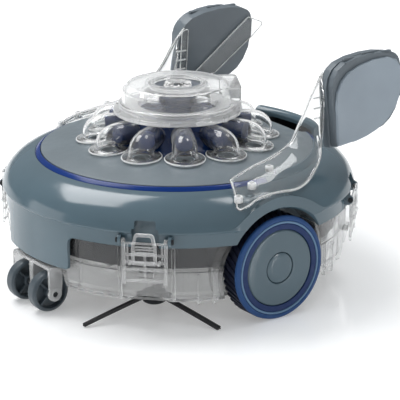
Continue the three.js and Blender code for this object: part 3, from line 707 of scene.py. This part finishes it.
def pump():
    motor = gathered("pump_drive", [
        disc("can", 24, 69.6, 146, edge=2),
        disc("nose", 11, 146, 150, edge=1),
        *[turned(block("fin", (22, -0.8, 80), (25.4, 0.8, 138), 0.3), 20 * k) for k in range(18)],
    ])
    finished(motor, "body", DARK, ["pump_motor"])
    blades = []
    for k in range(6):
        path = [(8 + 5.5 * t, 1.1 * t * t * 0.35, 168.5 + 1.8 * t) for t in range(6)]
        rows = [[(x, y - 0.9, z - 3), (x, y + 0.9, z - 3), (x, y + 3.4, z + 5), (x, y + 1.6, z + 5)] for x, y, z in path]
        caps = [[tuple(sum((Vector(p) for p in row), Vector()) / 4)] * 4 for row in (rows[0], rows[-1])]
        blades.append(turned(skin("blade", [caps[0], *rows, caps[1]], close_columns=True), 60 * k))
    wheel = gathered("pump_impeller_wheel", [disc("hub", 9, 168, 186, edge=2), disc("shaft", 3, 150.4, 187, edge=0.4), *blades])
    finished(wheel, "pump_impeller", DARK, ["impeller"])


# ---- clear debris tray ----
def caster_notch(side, growth=0.0):
    low, high = sorted((side * (162 - growth), side * 240))
    return block("notch", (-45 - growth, low, -5), (45 + growth, high, 50 + growth), 5)


def latch_arch(angle, growth=0.0):
    """The arched cut in the tray's lower edge under a latch."""
    half, rise = 27 - growth, 10 + growth
    top = [(half * k / 8, TRAY_LOW_Z + rise * (1 - abs(k / 8) ** 2.2)) for k in range(-8, 9)]
    return turned(prism("arch", [(-half - 1, 15), *top, (half + 1, 15)], 172 - growth, 205, "x"), angle)


def inlet(growth, low, high):
    return block("inlet", (-30 - growth, -112 - growth, low), (30 + growth, -88 + growth, high), 2)


def post(angle, t):
    bar = rounded([(184.5, 33), (188.6, 34, 1), (191, 42, 3), (193.4, 60, 3), (195, 68, 3), (195, 94.4, 1), (186, 94.4), (186, 44)], 0.6)
    return turned(prism("post", bar, t - 1.5, t + 1.5, "y", edge=0.6), angle)


def rib(angle, low, high, reach=2.0):
    return turned(block("rib", (TRAY_R - 3, -0.9, low), (TRAY_R + reach, 0.9, high), 0.5), angle)


def caster_fork(side):
    pieces = []
    for x, half in ((0, 4), (-37, 2), (37, 2)):
        outline = rounded([(side * 181, 54), (side * 181, 34, 4), (side * 183, 22.7, 3), (side * 189, 16, 6),
                           (side * 196, 21, 6), (side * 197, 34, 4), (side * 197, 54)], 2)
        plate = prism("fork", outline, x - half, x + half, "x", edge=0.9)
        boss = moved(disc("boss", 8, x - half - 0.2, x + half + 0.2, "x", 1), y=side * CASTER_Y, z=CASTER_R)
        pieces.append(union(plate, boss))
    bridge = block("bridge", (-39, min(side * 176, side * 197), 50.2), (39, max(side * 176, side * 197), 54), 1.2)
    fork = union(bridge, *pieces)
    return without(fork, moved(disc("hole", 3.3, -60, 60, "x", 0), y=side * CASTER_Y, z=CASTER_R))


def bottom_tray():
    outside = rounded([(0, TRAY_LOW_Z), (176, TRAY_LOW_Z, 6), (184, 31, 6), (188, 40, 8), (188.8, 64.6), (TRAY_R, TRAY_LEDGE_Z, 0.6),
                       (TRAY_R, TRAY_TOP_Z), (0, TRAY_TOP_Z)], 1, closed=False, steps=6)
    inside = rounded([(0, 30), (175, 30, 6), (182, 34, 6), (185, 42, 8), (185.8, 63.5), (187, 67, 1), (187, 99), (0, 99)],
                     1, closed=False, steps=6)
    tray = revolve("debris_tray", outside, segments=288)
    without(tray, well(1), well(-1), caster_notch(1), caster_notch(-1), *[latch_arch(a) for a in LATCHES.values()])
    hollow = revolve("hollow", inside)
    without(hollow, well(1, WALL), well(-1, WALL), caster_notch(1, WALL), caster_notch(-1, WALL), inlet(2.5, 20, 38),
            *[latch_arch(a, -WALL) for a in LATCHES.values()])
    without(tray, hollow)
    ribs = [rib(a, 29, 62) for a in (-28.3, 28.3, 151.7, -151.7)]
    ribs += [rib(a, 29, 66, 1.2) for a in (-23.2, 23.2, 156.8, -156.8)]
    knobs = [turned(moved(disc("knob", 1.9, 189, 193.4, "x", 0.8, 20), z=61.5), a) for a in (-28.3, 28.3, 151.7, -151.7)]
    posts = [post(a, t) for a in LATCHES.values() for t in (-29, 29)]
    hooks = [turned(block("hook", (186, -8, 60), (196, 8, 66), 1.2), a) for a in LATCHES.values()]
    union(tray, *ribs, *knobs, *posts, *hooks)
    axle_hole = moved(disc("axle_hole", 8, -170, 170, "x", 0), z=WHEEL_Z)
    without(tray, inlet(0, 15, 45), axle_hole)
    finished(tray, "body", TRAY, ["bottom_tray"], 36)
    for end, side in (("front", -1), ("rear", 1)):
        fork = caster_fork(side)
        fork.name = f"caster_fork_{end}"
        finished(fork, "body", FORK)


def inlet_flap():
    plate = block("intake_door", (-33, -114, 38.4), (33, -86, 40.2), 0.7)
    ridges = [block("ridge", (x - 1, -110, 39.8), (x + 1, -90, 41.4), 0.4) for x in range(-24, 25, 12)]
    finished(gathered("intake_door", [plate, *ridges]), "intake_flap", DARK, ["inlet_flap"])


# ---- sealed bay and what it holds ----
def equipment_bay():
    outside = rounded([(0, 66.2), (180, 66.2, 3), (180, 100, 1), (0, 100)], 1, closed=False)
    inside = [(0, 69), (177, 69), (177, 102), (0, 102)]
    bumps = [block("bump", (min(s * 86, s * 152), -24, 36), (max(s * 86, s * 152), 24, 72), 3) for s in (1, -1)]
    bay = union(revolve("sealed_bay", outside), *bumps)
    rooms = [block("room", (min(s * 89, s * 149), -21, 39), (max(s * 89, s * 149), 21, 75), 2) for s in (1, -1)]
    hollow = union(revolve("hollow", inside), *rooms)
    without(hollow, well(1, 9), well(-1, 9))
    without(bay, hollow, well(1, 6), well(-1, 6), moved(disc("axle_hole", 8, -170, 170, "x", 0), z=WHEEL_Z))
    boxes = [block("box", (24 + x, -176, 70), (44 + x, -168, 92), 1) for x in (22, -90)]
    ribs = [turned(block("rib", (178, -1.2, 70), (182.5, 1.2, 96), 0.5), a) for a in range(-85, 276, 10) if abs(a % 180) > 24]
    union(bay, *boxes, *ribs)
    finished(bay, "body", BAY, ["equipment_bay"])


def battery_pack():
    cells = [moved(disc("cell", 9.2, -74, -2, "x", 1.2), x=0, y=y, z=83) for y in (50, 69, 88, 103)]
    cells += [moved(disc("cell", 9.2, 2, 74, "x", 1.2), x=0, y=y, z=83) for y in (50, 69, 88, 103)]
    sleeve = block("sleeve", (-75, 40, 69.6), (75, 112, 79), 3)
    straps = [block("strap", (x - 3, 40.5, 78), (x + 3, 111.5, 94), 1) for x in (-60, -16, 16, 60)]
    finished(gathered("battery_cells", [sleeve, *cells, *straps]), "body", NAVY, ["battery_pack"])


def gear_motors():
    for name, side in SIDES.items():
        low, high = sorted((side * 92, side * 146))
        can = disc("can", 16.5, low, high, "x", 2)
        fins = []
        for k in range(12):
            fin = block("fin", (low + 5, -0.7, 15), (high - 18 if side > 0 else high - 5, 0.7, 18), 0.3)
            fin.data.transform(Matrix.Rotation(math.radians(30 * k), 4, "X"))
            fins.append(fin)
        gear = disc("gear", 18, *sorted((side * 130, side * 145)), "x", 1.2)
        motor = moved(gathered(f"wheel_drive_{name}", [can, gear, *fins]), z=WHEEL_Z)
        finished(motor, "body", DARK, [f"gear_motor_{name}"])


def filter_basket():
    frames = [revolve("hoop", rounded([(62, z), (65, z), (65, z + 4), (62, z + 4)], 0.8), closed=True, segments=96) for z in (31.2, 46, 61.4)]
    bars = [turned(block("bar", (62.2, -1, 32), (64.8, 1, 64), 0.4), 6 * k) for k in range(60)]
    finished(gathered("filter_screen", frames + bars), "body", DECK, ["filter_basket"])


# ---- rear ports ----
def rear_ports():
    cap = port_disc("cap", "button", 192.6, 197.2, edge=1.4)
    dome = port_disc("dome", "button", 196.6, 198, growth=-2.6, edge=0.6)
    finished(gathered("power_key_cap", [cap, dome]), "power_key", BLUE, ["power_button"])
    cover = port_disc("charging_plug", "cap", 191.6, 198, edge=1.2)
    bar = turned(moved(block("bar", (197.4, -1.6, -6.5), (199, 1.6, 6.5), 0.7), z=PORTS["cap"][2]), PORTS["cap"][0])
    finished(gathered("charging_plug", [cover, bar]), "charging_cover", DARK, ["charging_cap"])


# ---- drive wheels ----
def tread_lug(k, count):
    """One slanted tread block on the tyre's crown."""
    rows = []
    width = 2 * math.pi / count * 0.62
    for step in range(6):
        x = WHEEL_IN + 1.2 + 4.2 * step
        start = 2 * math.pi / count * (k + 0.26 * step)
        ring = []
        for r, swing in ((55.8, 0), (55.8, width), (58.2, width * 0.84), (58.2, width * 0.16)):
            ring.append((x, r * math.cos(start + swing), r * math.sin(start + swing)))
        rows.append(ring)
    caps = [[middle_of(row)] * 4 for row in (rows[0], rows[-1])]
    return skin("lug", [caps[0], *rows, caps[1]], close_columns=True)


def wheel_ring(name, profile, radius=0.5):
    """A ring of the wheel. Its profile holds (radius, distance out from the wheel's inner side)."""
    outline = [(point[0], WHEEL_IN + point[1], *point[2:]) for point in profile]
    return revolve(name, rounded(outline, radius), closed=True, segments=128, axis="x")


def wheel_face(name, profile, segments=128):
    outline = [(point[0], WHEEL_OUT + point[1], *point[2:]) for point in profile]
    return revolve(name, rounded(outline, 0.5, closed=False), segments=segments, axis="x")


def drive_wheel(name, side):
    core = wheel_ring("core", [(43, 0.2), (55, 0.2, 1.5), (56.6, 2, 1), (56.6, 21.5), (43, 21.5)])
    wall = wheel_ring("wall", [(49.4, 21.4), (58.3, 21.4, 1.8), (57.6, 25, 2), (54.4, 26.2, 1.6), (52.7, 26, 0.5), (52.4, 25), (49.4, 25)])
    groove = wheel_ring("groove", [(43, 21.4), (49.6, 21.4), (49.6, 25.4), (48.6, 26, 0.6), (43, 25.8, 1)])
    bead = wheel_ring("bead", [(49.8, 24.6), (52.2, 24.6), (52.2, 26.4, 1), (49.8, 26.4, 1)], 0.2)
    lugs = gathered("tread", [tread_lug(k, 44) for k in range(44)])
    plate = wheel_face("plate", [(0, -45), (6, -45), (6, -24), (42.6, -24), (42.6, -2, 1), (41, -0.8, 1.4),
                                 (30, -0.4, 30), (18.2, -0.6, 0.6), (17.6, -1.4, 0.4), (17.6, -6), (0, -6)])
    cap = wheel_face("cap", [(0, -5.6), (16.9, -5.6), (16.9, -1.4, 0.9), (12, -0.5, 12), (0, -0.1)], 96)
    pieces = (
        (gathered("tread_base", [core, lugs]), "tyre_tread", f"tyre_{name}", TREAD, "tyre_blue"),
        (wall, "tyre_wall", None, TYRE, "tyre_blue"),
        (groove, "tyre_groove", None, HOLLOW, "tyre_blue"),
        (bead, "tyre_bead", None, BEAD, "tyre_blue"),
        (plate, "wheel_plate", f"wheel_disc_{name}", SHELL, "shell_grey"),
        (cap, "wheel_cap", f"hub_cap_{name}", SHELL, "shell_grey"),
    )
    for piece, label, node, material, slot in pieces:
        if side < 0:
            turned(piece, 180)
        piece.name = f"{label}_{name}"
        finished(moved(piece, z=WHEEL_Z), f"drive_wheel_{name}", material, [node] if node else [])


# ---- casters ----
def caster_wheel():
    rim = revolve("rim", rounded([(18.4, -CASTER_HALF, 1), (20.5, -CASTER_HALF, 2.4), (CASTER_R, -5, 3), (CASTER_R, 5, 3),
                                  (20.5, CASTER_HALF, 2.4), (18.4, CASTER_HALF, 1), (17.6, 0, 1)], 1, steps=5),
                  closed=True, segments=96, axis="x")
    hub = revolve("hub", rounded([(3.5, -CASTER_HALF), (6.6, -CASTER_HALF), (6.6, CASTER_HALF), (3.5, CASTER_HALF)], 0.7),
                  closed=True, segments=48, axis="x")
    web = revolve("web", [(5.5, -1), (18.6, -1), (18.6, 1), (5.5, 1)], closed=True, segments=64, axis="x")
    spokes = []
    for k in range(4):
        spoke = block("spoke", (-6.4, -1.1, 5.4), (6.4, 1.1, 18.6), 0.5)
        spoke.data.transform(Matrix.Rotation(math.radians(90 * k + 45), 4, "X"))
        spokes.append(spoke)
    return union(rim, hub, web, *spokes)


def casters():
    for end, y_side in (("front", -1), ("rear", 1)):
        y = y_side * CASTER_Y
        rod = disc(f"caster_rod_{end}", 2.95, -36.4, 36.4, "x", 0.6)
        finished(moved(rod, y=y, z=CASTER_R), "body", STEEL, [f"caster_axle_{end}"])
        caps = [disc("cap", 3.2, *sorted((36.5 * s, 38.4 * s)), "x", 0.5) for s in (1, -1)]
        plugs = moved(gathered(f"caster_plugs_{end}", caps), y=y, z=CASTER_R)
        finished(plugs, "body", DARK)
        for name, side in SIDES.items():
            wheel = moved(caster_wheel(), side * CASTER_X, y, CASTER_R)
            wheel.name = f"caster_roller_{end}_{name}"
            finished(wheel, f"caster_{end}_{name}", CASTER, [f"caster_wheel_{end}_{name}"])


# ---- side brushes ----
def bristle_bundle(rng):
    """Bristles of one arm: from the hub down and out to the floor."""
    strands = []
    for row in range(4):
        for column in range(5):
            across = (column - 2) * 1.05 + rng.uniform(-0.2, 0.2)
            lift = (row - 1.5) * 0.85
            reach = 84.6 + rng.uniform(-1.6, 0.3)
            fall = 21.1 + rng.uniform(-0.3, 0.3)
            path = [(11 + (reach - 11) * t, across * (1 - 0.1 * t), 23.4 - fall * t ** 1.05 + lift) for t in (0, 0.25, 0.5, 0.75, 1)]
            strands.append(tube("strand", path, 0.62, 6))
    return strands


def brushes():
    rng = random.Random(7)
    for name, side in SIDES.items():
        hub = revolve("hub", rounded([(0, 15), (9.5, 15, 1.5), (13, 17, 1.5), (13, 20.4, 1), (9, 22.6, 1), (0, 23)], 1, closed=False), segments=72)
        screw = disc("screw", 3.4, 14.4, 15.4, edge=0.3)
        finished(place_brush(gathered(f"brush_boss_{name}", [hub, screw]), name, side), f"side_brush_{name}", DARK, [f"brush_hub_{name}"])
        plate = disc("plate", 12.6, 23.8, 26.4, edge=0.6)
        arms = []
        for k in range(3):
            root = prism("root", rounded([(8, -3.4), (20, -2.9), (20, 2.9), (8, 3.4)], 1), 21.4, 25.8, "z", edge=0.7)
            arms += [turned(piece, 120 * k) for piece in [root, *bristle_bundle(rng)]]
        tufts = gathered(f"brush_tufts_{name}", [plate, *arms])
        finished(place_brush(tufts, name, side), f"side_brush_{name}", BRISTLE, [f"brush_bristles_{name}"])


def place_brush(obj, name, side):
    return moved(turned(obj, BRUSH_TURN[name]), side * 102, -103)


# ---- latches ----
def latch_frame():
    arms = []
    for t in (-22.75, 22.75):
        outline = rounded([(198.4, 55, 1.4), (201.4, 54, 1.4), (201.8, 98, 1), (203.2, 104, 3), (200.4, 107.2, 3), (196.9, 104.5, 3), (198.4, 98, 1)], 1)
        arms.append(prism("arm", outline, t - 1.7, t + 1.7, "y", edge=0.5))
    bars = [block("bar", (198.3, -22, z - 1.2), (201, 22, z + 1.2), 0.6) for z in (59, 71, 79.5, 88)]
    bars.append(block("spine", (198.4, -1.3, 58), (200.8, 1.3, 88), 0.5))
    rails = [block("rail", (198.4, t - 0.8, 79), (200.8, t + 0.8, 101), 0.4) for t in (-18.5, 18.5)]
    ears = [prism("ear", rounded([(198.3, 77.2), (204, 77.2, 2), (206, 79.5, 2), (204, 81.8, 2), (198.3, 81.8)], 0.8), t - 1.1, t + 1.1, "y", edge=0.4)
            for t in (-15.8, 15.8)]
    arch = block("arch", (198.4, -22, 99.5), (200.8, 22, 101.6), 0.6)
    frame_piece = union(arms[0], arms[1], *bars, *rails, *ears, arch)
    return without(frame_piece, moved(disc("eye", 2.1, -40, 40, "y", 0), x=200, z=104), moved(disc("eye", 1.3, -20, 20, "y", 0), x=203.6, z=79.5))


def latch_lever():
    edge = rounded([(-13.4, 78.2, 1), (13.4, 78.2, 1), (13.4, 99, 3), (10, 112.8, 4), (-10, 112.8, 4), (-13.4, 99, 3)], 1)
    plate = prism("lever", edge, 202.3, 204.9, "x", edge=0.7)
    low_window = prism("window", rounded([(-10.3, 81.2), (10.3, 81.2), (10.3, 89), (-10.3, 89)], 1.2), 200, 208, "x")
    high_window = prism("window", rounded([(-10.3, 92), (10.3, 92), (10.3, 98.5), (7.4, 109.6, 2.5), (-7.4, 109.6, 2.5), (-10.3, 98.5)], 1.2), 200, 208, "x")
    without(plate, low_window, high_window)
    pin = moved(disc("pin", 1.0, -16.4, 16.4, "y", 0.3, 20), x=203.6, z=79.5)
    grips = [block("grip", (202.4, -9.5, z - 0.5), (204.7, 9.5, z + 0.5), 0.3) for z in (95, 98)]
    return union(plate, pin, *grips)


def latches():
    for name, angle in LATCHES.items():
        frame_piece = turned(latch_frame(), angle)
        frame_piece.name = f"latch_bail_{name}"
        finished(frame_piece, f"latch_{name}", LATCH, [f"latch_frame_{name}"])
        heads = [moved(disc("head", 2.9, t - 1, t + 1, "y", 0.6, 24), x=200, z=104) for t in (-30, 30)]
        stubs = [moved(disc("pin", 1.9, *sorted((21.5 * s, 30 * s)), "y", 0.6, 24), x=200, z=104) for s in (1, -1)]
        pin = turned(gathered(f"latch_pin_{name}", [*stubs, *heads]), angle)
        finished(pin, f"latch_{name}", DARK)
        lever = turned(latch_lever(), angle)
        lever.name = f"latch_thumb_{name}"
        finished(lever, f"lever_{name}", LATCH, [f"latch_lever_{name}"])


# ---- wing arms and float pads ----
# Each station of the left arm is a point on its upper inner edge and one on its lower outer edge.
WING = [
    ((159, -42, 155), (183, -51, 135.5)), ((156, -39, 157), (186, -49, 133.4)),
    ((150, -21, 160), (188, -39, 137)), ((146, -2, 163.5), (187, -25, 141.6)),
    ((143, 23, 167.5), (186.5, -2, 143.5)), ((141, 42, 173.5), (186, 24.5, 142)), ((140, 53, 179.5), (181, 41, 143)),
    ((139, 63, 194), (174, 56.5, 147.5)), ((138, 71, 204), (160, 78.5, 158.8)), ((137, 77, 213), (152, 86, 168)),
    ((136.3, 83, 223), (146, 93, 185)), ((135.6, 92, 236), (141, 97.5, 205)), ((133.5, 101, 247), (137, 99, 222)),
]
WING_CROWN = 5.0


def wing_rows(columns=12):
    upper = spline([a for a, _ in WING], 4)
    lower = spline([b for _, b in WING], 4)
    rows = []
    for i, (a, b) in enumerate(zip(upper, lower)):
        a, b = Vector(a), Vector(b)
        crown = WING_CROWN * min(1, 0.3 + i / 12)
        near, far = max(i - 1, 0), min(i + 1, len(upper) - 1)
        along = (Vector(upper[far]) + Vector(lower[far])) - (Vector(upper[near]) + Vector(lower[near]))
        normal = (b - a).cross(along).normalized()
        row = []
        for k in range(columns + 1):
            t = k / columns
            row.append(tuple(a.lerp(b, t) + normal * crown * 4 * t * (1 - t)))
        rows.append(row)
    return rows


def leaned(obj):
    x, z = PAD_PIVOT
    shift = Matrix.Translation((x * MM, 0, z * MM))
    obj.data.transform(shift @ Matrix.Rotation(-PAD_LEAN, 4, "Y") @ shift.inverted())
    return obj


def wing_sheet():
    rows = wing_rows()
    thickness = 2.6
    normals = []
    for i, row in enumerate(rows):
        line = []
        for j in range(len(row)):
            up = Vector(rows[min(i + 1, len(rows) - 1)][j]) - Vector(rows[max(i - 1, 0)][j])
            side = Vector(row[min(j + 1, len(row) - 1)]) - Vector(row[max(j - 1, 0)])
            line.append(side.cross(up).normalized())
        normals.append(line)
    back = [[tuple(Vector(p) - n * thickness) for p, n in zip(row, line)] for row, line in zip(rows, normals)]
    closed_rows = [[*front, *reversed(rear)] for front, rear in zip(rows, back)]
    first, last = closed_rows[0], closed_rows[-1]
    width = len(first)
    bm = bmesh.new()
    grid = [[bm.verts.new(p) for p in row] for row in closed_rows]
    for i in range(len(grid) - 1):
        for j in range(width):
            k = (j + 1) % width
            bm.faces.new((grid[i][j], grid[i + 1][j], grid[i + 1][k], grid[i][k]))
    for row in (grid[0], grid[-1]):
        for j in range(width // 2 - 1):
            bm.faces.new((row[j], row[j + 1], row[width - 2 - j], row[width - 1 - j]))
    sheet = new_object("sheet", bm)
    edge = [*[r[0] for r in rows], *rows[-1][1:-1], *[r[-1] for r in reversed(rows)], *reversed(rows[0][1:-1])]
    inner = [*[r[0] for r in back], *back[-1][1:-1], *[r[-1] for r in reversed(back)], *reversed(back[0][1:-1])]
    rim = [tuple((Vector(a) + Vector(b)) / 2) for a, b in zip(edge, inner)]
    return union(sheet, tube("rim", rim, 1.75, 10, closed_path=True)), tube("edge", rim, 0.6, 8, closed_path=True)


STRAP = [(98, 178), (107, 178), (107, 183), (150, 183.3), (203.6, 222.4), (218, 234.5), (218.5, 239), (197, 248),
         (118, 187), (107, 187), (107, 246), (98, 243)]


def shell_room():
    """The space that the shell takes up under an arm, a little larger than the shell."""
    dome = [(r + 0.5, z + 0.5) for r, z in dome_profile()]
    room = revolve("room", [(0, 90), (BAND_R + 0.5, 90), (LIP_R + 0.6, 112), *dome, (162.4, 152.2), (0, 152.2)])
    return [room, moved(fender(1), x=0.5, z=0.6)]


def wing_arm(side):
    rows = wing_rows()
    sheet, edge = wing_sheet()
    outline = rounded([(*p, 3) for p in STRAP], 3)
    strap = leaned(prism("strap", outline, 132.3, 135.2, "x", edge=0.7))
    band_edge = leaned(tube("band_edge", [(133.4, y, z) for y, z in outline], 0.7, 8, closed_path=True))
    posts = []
    for station, column in ((4, 8), (10, 7), (15, 4)):
        x, y, z = rows[station][column]
        ring = moved(revolve("ring", rounded([(2.4, z - 6), (4.6, z - 6), (4.6, z + 1.4, 1), (2.4, z + 1.4)], 0.5), closed=True, segments=36), x, y)
        posts.append(ring)
    arm = without(union(sheet, strap), *shell_room(), pad_solid(0.3))
    clips = without(union(*posts), *shell_room())
    lines = gathered("lines", [clips, without(edge, pad_solid(0.4)), without(band_edge, pad_solid(0.4))])
    return [piece if side > 0 else mirrored(piece) for piece in (arm, lines)]


PAD_INNER = [
    (97.5, 164), (96.5, 232), (99, 242), (104.5, 250.5), (114, 257), (131, 261.5), (152, 263.5), (170, 263.3), (188, 260.5),
    (197, 256.5), (201.8, 251), (203.5, 243), (203.3, 222), (200.5, 207), (194.5, 194), (186, 184), (176, 177.5), (155, 171.5),
    (125, 166.5),
]
PAD_FACE = [
    (100.5, 167), (100.5, 212), (102.5, 226), (108.5, 238), (119, 247), (136, 253), (156, 256.5), (176, 256.5), (188.5, 252),
    (193, 243), (193.3, 225), (189.8, 210.5), (183.5, 199), (174.5, 189.5), (166, 183), (154, 177.3), (140, 172.8), (125, 169.8),
]
PAD_OUTER = [
    (99, 165.5), (99, 234), (101.5, 243), (107, 251), (117, 257.5), (135, 261.5), (152, 263), (170, 262), (182, 259), (190, 254),
    (194, 248), (195.3, 240), (195, 225), (191.5, 210), (185, 199), (176, 189), (167, 182), (155, 176), (141, 171.5), (125, 168.5),
]


def wing_ribs(side):
    """Short stiffening ribs where the arm meets its pad."""
    ribs = gathered("ribs", [leaned(block("rib", (130.6, 90, z - 0.8), (132.6, 104, z + 0.8), 0.5)) for z in (219.5, 208, 196.7)])
    return ribs if side > 0 else mirrored(ribs)


def pad_slab(name, outline, low, high, growth=0.0, edge=0.0):
    """A slab of the pad. A positive growth makes its outline larger all round."""
    centre = Vector((150, 215))
    points = []
    for y, z in outline:
        away = Vector((y, z)) - centre
        points.append((*(centre + away * (1 + growth / away.length)), 3))
    return prism(name, rounded(points, steps=2), low, high, "x", edge=edge, segments=4)


def pad_solid(growth=0.0):
    return leaned(pad_slab("pad", PAD_INNER, 135.5 - growth, 156 + growth, growth))


def float_pad(side):
    body = union(
        pad_slab("pad", PAD_INNER, 135.6, 146.5, edge=1.6),
        pad_slab("pad", PAD_OUTER, 144, 156, growth=0, edge=3.0),
    )
    face = pad_slab("face", PAD_FACE, 154.6, 159.6, edge=2.2)
    cleats = [block("cleat", (147, y - 9, z - 2), (151.5, y + 9, z + 1.2), 0.8) for y, z in ((128, 260.5), (154, 263.2), (178, 261.2))]
    cleats += [block("cleat", (139, 199.5, z - 7), (146, 204.6, z + 7), 0.8) for z in (214, 236)]
    union(body, *cleats)
    return [leaned(piece) if side > 0 else mirrored(leaned(piece)) for piece in (body, face)]


def ring_cover(side):
    """The grey mount under the arm, which covers the blue ring behind the clips."""
    (inner, top), (outer, low) = RING_IN, RING_OUT
    band = revolve("mount", rounded([(inner - 2, 145), (outer + 1.2, 145), (outer + 1.2, low + 0.5, 1.2), (inner, top + 0.7, 1.2),
                                     (inner - 2, top + 0.3, 0.5)], 0.3), closed=True)
    rays = [(150 * math.cos(math.radians(a)) * 1.6, 150 * math.sin(math.radians(a)) * 1.6) for a in (1.5, 20, 39, 58)]
    cover = within(band, prism("keep", [(0, 0), *rays], 140, 160))
    return cover if side > 0 else mirrored(cover)


def wings():
    for name, side in SIDES.items():
        arm, lines = wing_arm(side)
        arm.name, lines.name = f"wing_shell_{name}", f"wing_edges_{name}"
        finished(lines, "body", FROSTED)
        finished(arm, "body", WING_CLEAR, [f"wing_arm_{name}"], 50)
        ribs = wing_ribs(side)
        ribs.name = f"wing_ribs_{name}"
        finished(ribs, "body", FROSTED)
        cover = ring_cover(side)
        cover.name = f"wing_mount_{name}"
        finished(cover, "body", SHELL)
        pad, face = float_pad(side)
        pad.name, face.name = f"float_block_{name}", f"float_face_{name}"
        finished(pad, "body", PAD_RIM, [f"float_pad_{name}"])
        finished(face, "body", PAD)


# ---- stage, light and camera ----
def floor():
    half = 6.0
    mesh = bpy.data.meshes.new("floor")
    mesh.from_pydata([(-half, -half, 0), (half, -half, 0), (half, half, 0), (-half, half, 0)], [], [(0, 1, 2, 3)])
    obj = bpy.data.objects.new("floor", mesh)
    bpy.context.scene.collection.objects.link(obj)
    n = Nodes("floor_painted_glow")
    away = n.add("VectorMath")
    away.operation = "LENGTH"
    n.feed(away.inputs[0], n.place)
    # The floor glows: painted light, dimmer near the middle where the robot's shadow falls and brighter towards the
    # edges.
    glow = n.add("MapRange", Value=away.outputs["Value"], From_Min=0.3, From_Max=1.1, To_Min=0.23, To_Max=0.6)
    n.set(Base_Color=(0.97, 0.97, 0.97, 1), Roughness=0.1, Specular_IOR_Level=0.6,
          Emission_Color=(1, 1, 1, 1), Emission_Strength=glow.outputs["Result"])
    mesh.materials.append(n.material)


def softbox(name, azimuth, elevation, width, height, power, distance=1.7, reflected=True):
    """A rectangular lamp that faces the object. Azimuth is counted from +X towards +Y."""
    a, e = math.radians(azimuth), math.radians(elevation)
    away = Vector((math.cos(a) * math.cos(e), math.sin(a) * math.cos(e), math.sin(e)))
    lamp = bpy.data.lights.new(name, "AREA")
    lamp.shape = "RECTANGLE"
    lamp.size, lamp.size_y, lamp.energy = width, height, power
    obj = bpy.data.objects.new(name, lamp)
    obj.location = away * distance + Vector((0, 0, 0.12))
    obj.rotation_euler = away.to_track_quat("Z", "Y").to_euler()
    obj.visible_glossy = reflected
    bpy.context.scene.collection.objects.link(obj)


def studio():
    """White behind the object and seen through it, with a softer grey for what it reflects."""
    world = bpy.data.worlds.new("studio")
    world.use_nodes = True
    tree = world.node_tree
    backdrop = tree.nodes["Background"]
    backdrop.inputs["Color"].default_value = (1, 1, 1, 1)
    room = tree.nodes.new("ShaderNodeBackground")
    room.inputs["Color"].default_value = (0.93, 0.97, 1, 1)
    place = tree.nodes.new("ShaderNodeTexCoord")
    height = tree.nodes.new("ShaderNodeSeparateXYZ")
    tree.links.new(place.outputs["Generated"], height.inputs[0])
    level = tree.nodes.new("ShaderNodeMapRange")
    for socket, value in zip(("From Min", "From Max", "To Min", "To Max"), (0.0, 0.8, *ROOM_LIGHT)):
        level.inputs[socket].default_value = value
    tree.links.new(height.outputs["Z"], level.inputs["Value"])
    tree.links.new(level.outputs["Result"], room.inputs["Strength"])
    path = tree.nodes.new("ShaderNodeLightPath")
    seen = tree.nodes.new("ShaderNodeMath")
    seen.operation = "MAXIMUM"
    tree.links.new(path.outputs["Is Camera Ray"], seen.inputs[0])
    tree.links.new(path.outputs["Is Transmission Ray"], seen.inputs[1])
    mix = tree.nodes.new("ShaderNodeMixShader")
    tree.links.new(seen.outputs[0], mix.inputs[0])
    tree.links.new(room.outputs[0], mix.inputs[1])
    tree.links.new(backdrop.outputs[0], mix.inputs[2])
    tree.links.new(mix.outputs[0], tree.nodes["World Output"].inputs["Surface"])
    bpy.context.scene.world = world


ROOM_LIGHT = (0.22, 0.55)


def lights():
    softbox("overhead_left", -155, 59, 1.25, 0.8, 22)
    softbox("overhead_right", 85, 66, 0.6, 0.5, 6)
    softbox("side_left", -125, 6, 1.3, 0.9, 6, 2.4)
    softbox("front_left", -92, 5, 0.32, 0.6, 8, 2.2, reflected=False)
    softbox("front_right", 24, 8, 0.32, 0.6, 6, 2.2)


def camera():
    azimuth, elevation, distance, roll = (math.radians(55.3), math.radians(17.85), 2.24, math.radians(-0.35))
    back = Vector((math.sin(azimuth) * math.cos(elevation), -math.cos(azimuth) * math.cos(elevation), math.sin(elevation)))
    right = Vector((math.cos(azimuth), math.sin(azimuth), 0))
    up = back.cross(right)
    right, up = right * math.cos(roll) + up * math.sin(roll), up * math.cos(roll) - right * math.sin(roll)
    lens = bpy.data.cameras.new("camera")
    lens.sensor_width = 36
    lens.lens = 176.2
    lens.shift_x, lens.shift_y = 0.0545, -0.033
    obj = bpy.data.objects.new("camera", lens)
    turn = Matrix((right, up, back)).transposed().to_4x4()
    obj.matrix_world = Matrix.Translation(back * distance + Vector((0, 0, 0.1))) @ turn
    bpy.context.scene.collection.objects.link(obj)
    bpy.context.scene.camera = obj


# ---- assembly ----
top_shell()
deck_cover()
accent_ring()
rear_handle()
handle_well_shade()
outlet_tubes()
motor_housing()
nozzle_column()
turntable_ring()
nozzle_head()
nozzle_knob()
pump()
bottom_tray()
inlet_flap()
equipment_bay()
battery_pack()
gear_motors()
filter_basket()
rear_ports()
for side_name, side_sign in SIDES.items():
    drive_wheel(side_name, side_sign)
casters()
brushes()
latches()
wings()
floor()
studio()
lights()
camera()
bpy.context.scene.view_settings.view_transform = "Standard"
bpy.context.scene.cycles.max_bounces = 24
bpy.context.scene.cycles.transmission_bounces = 24
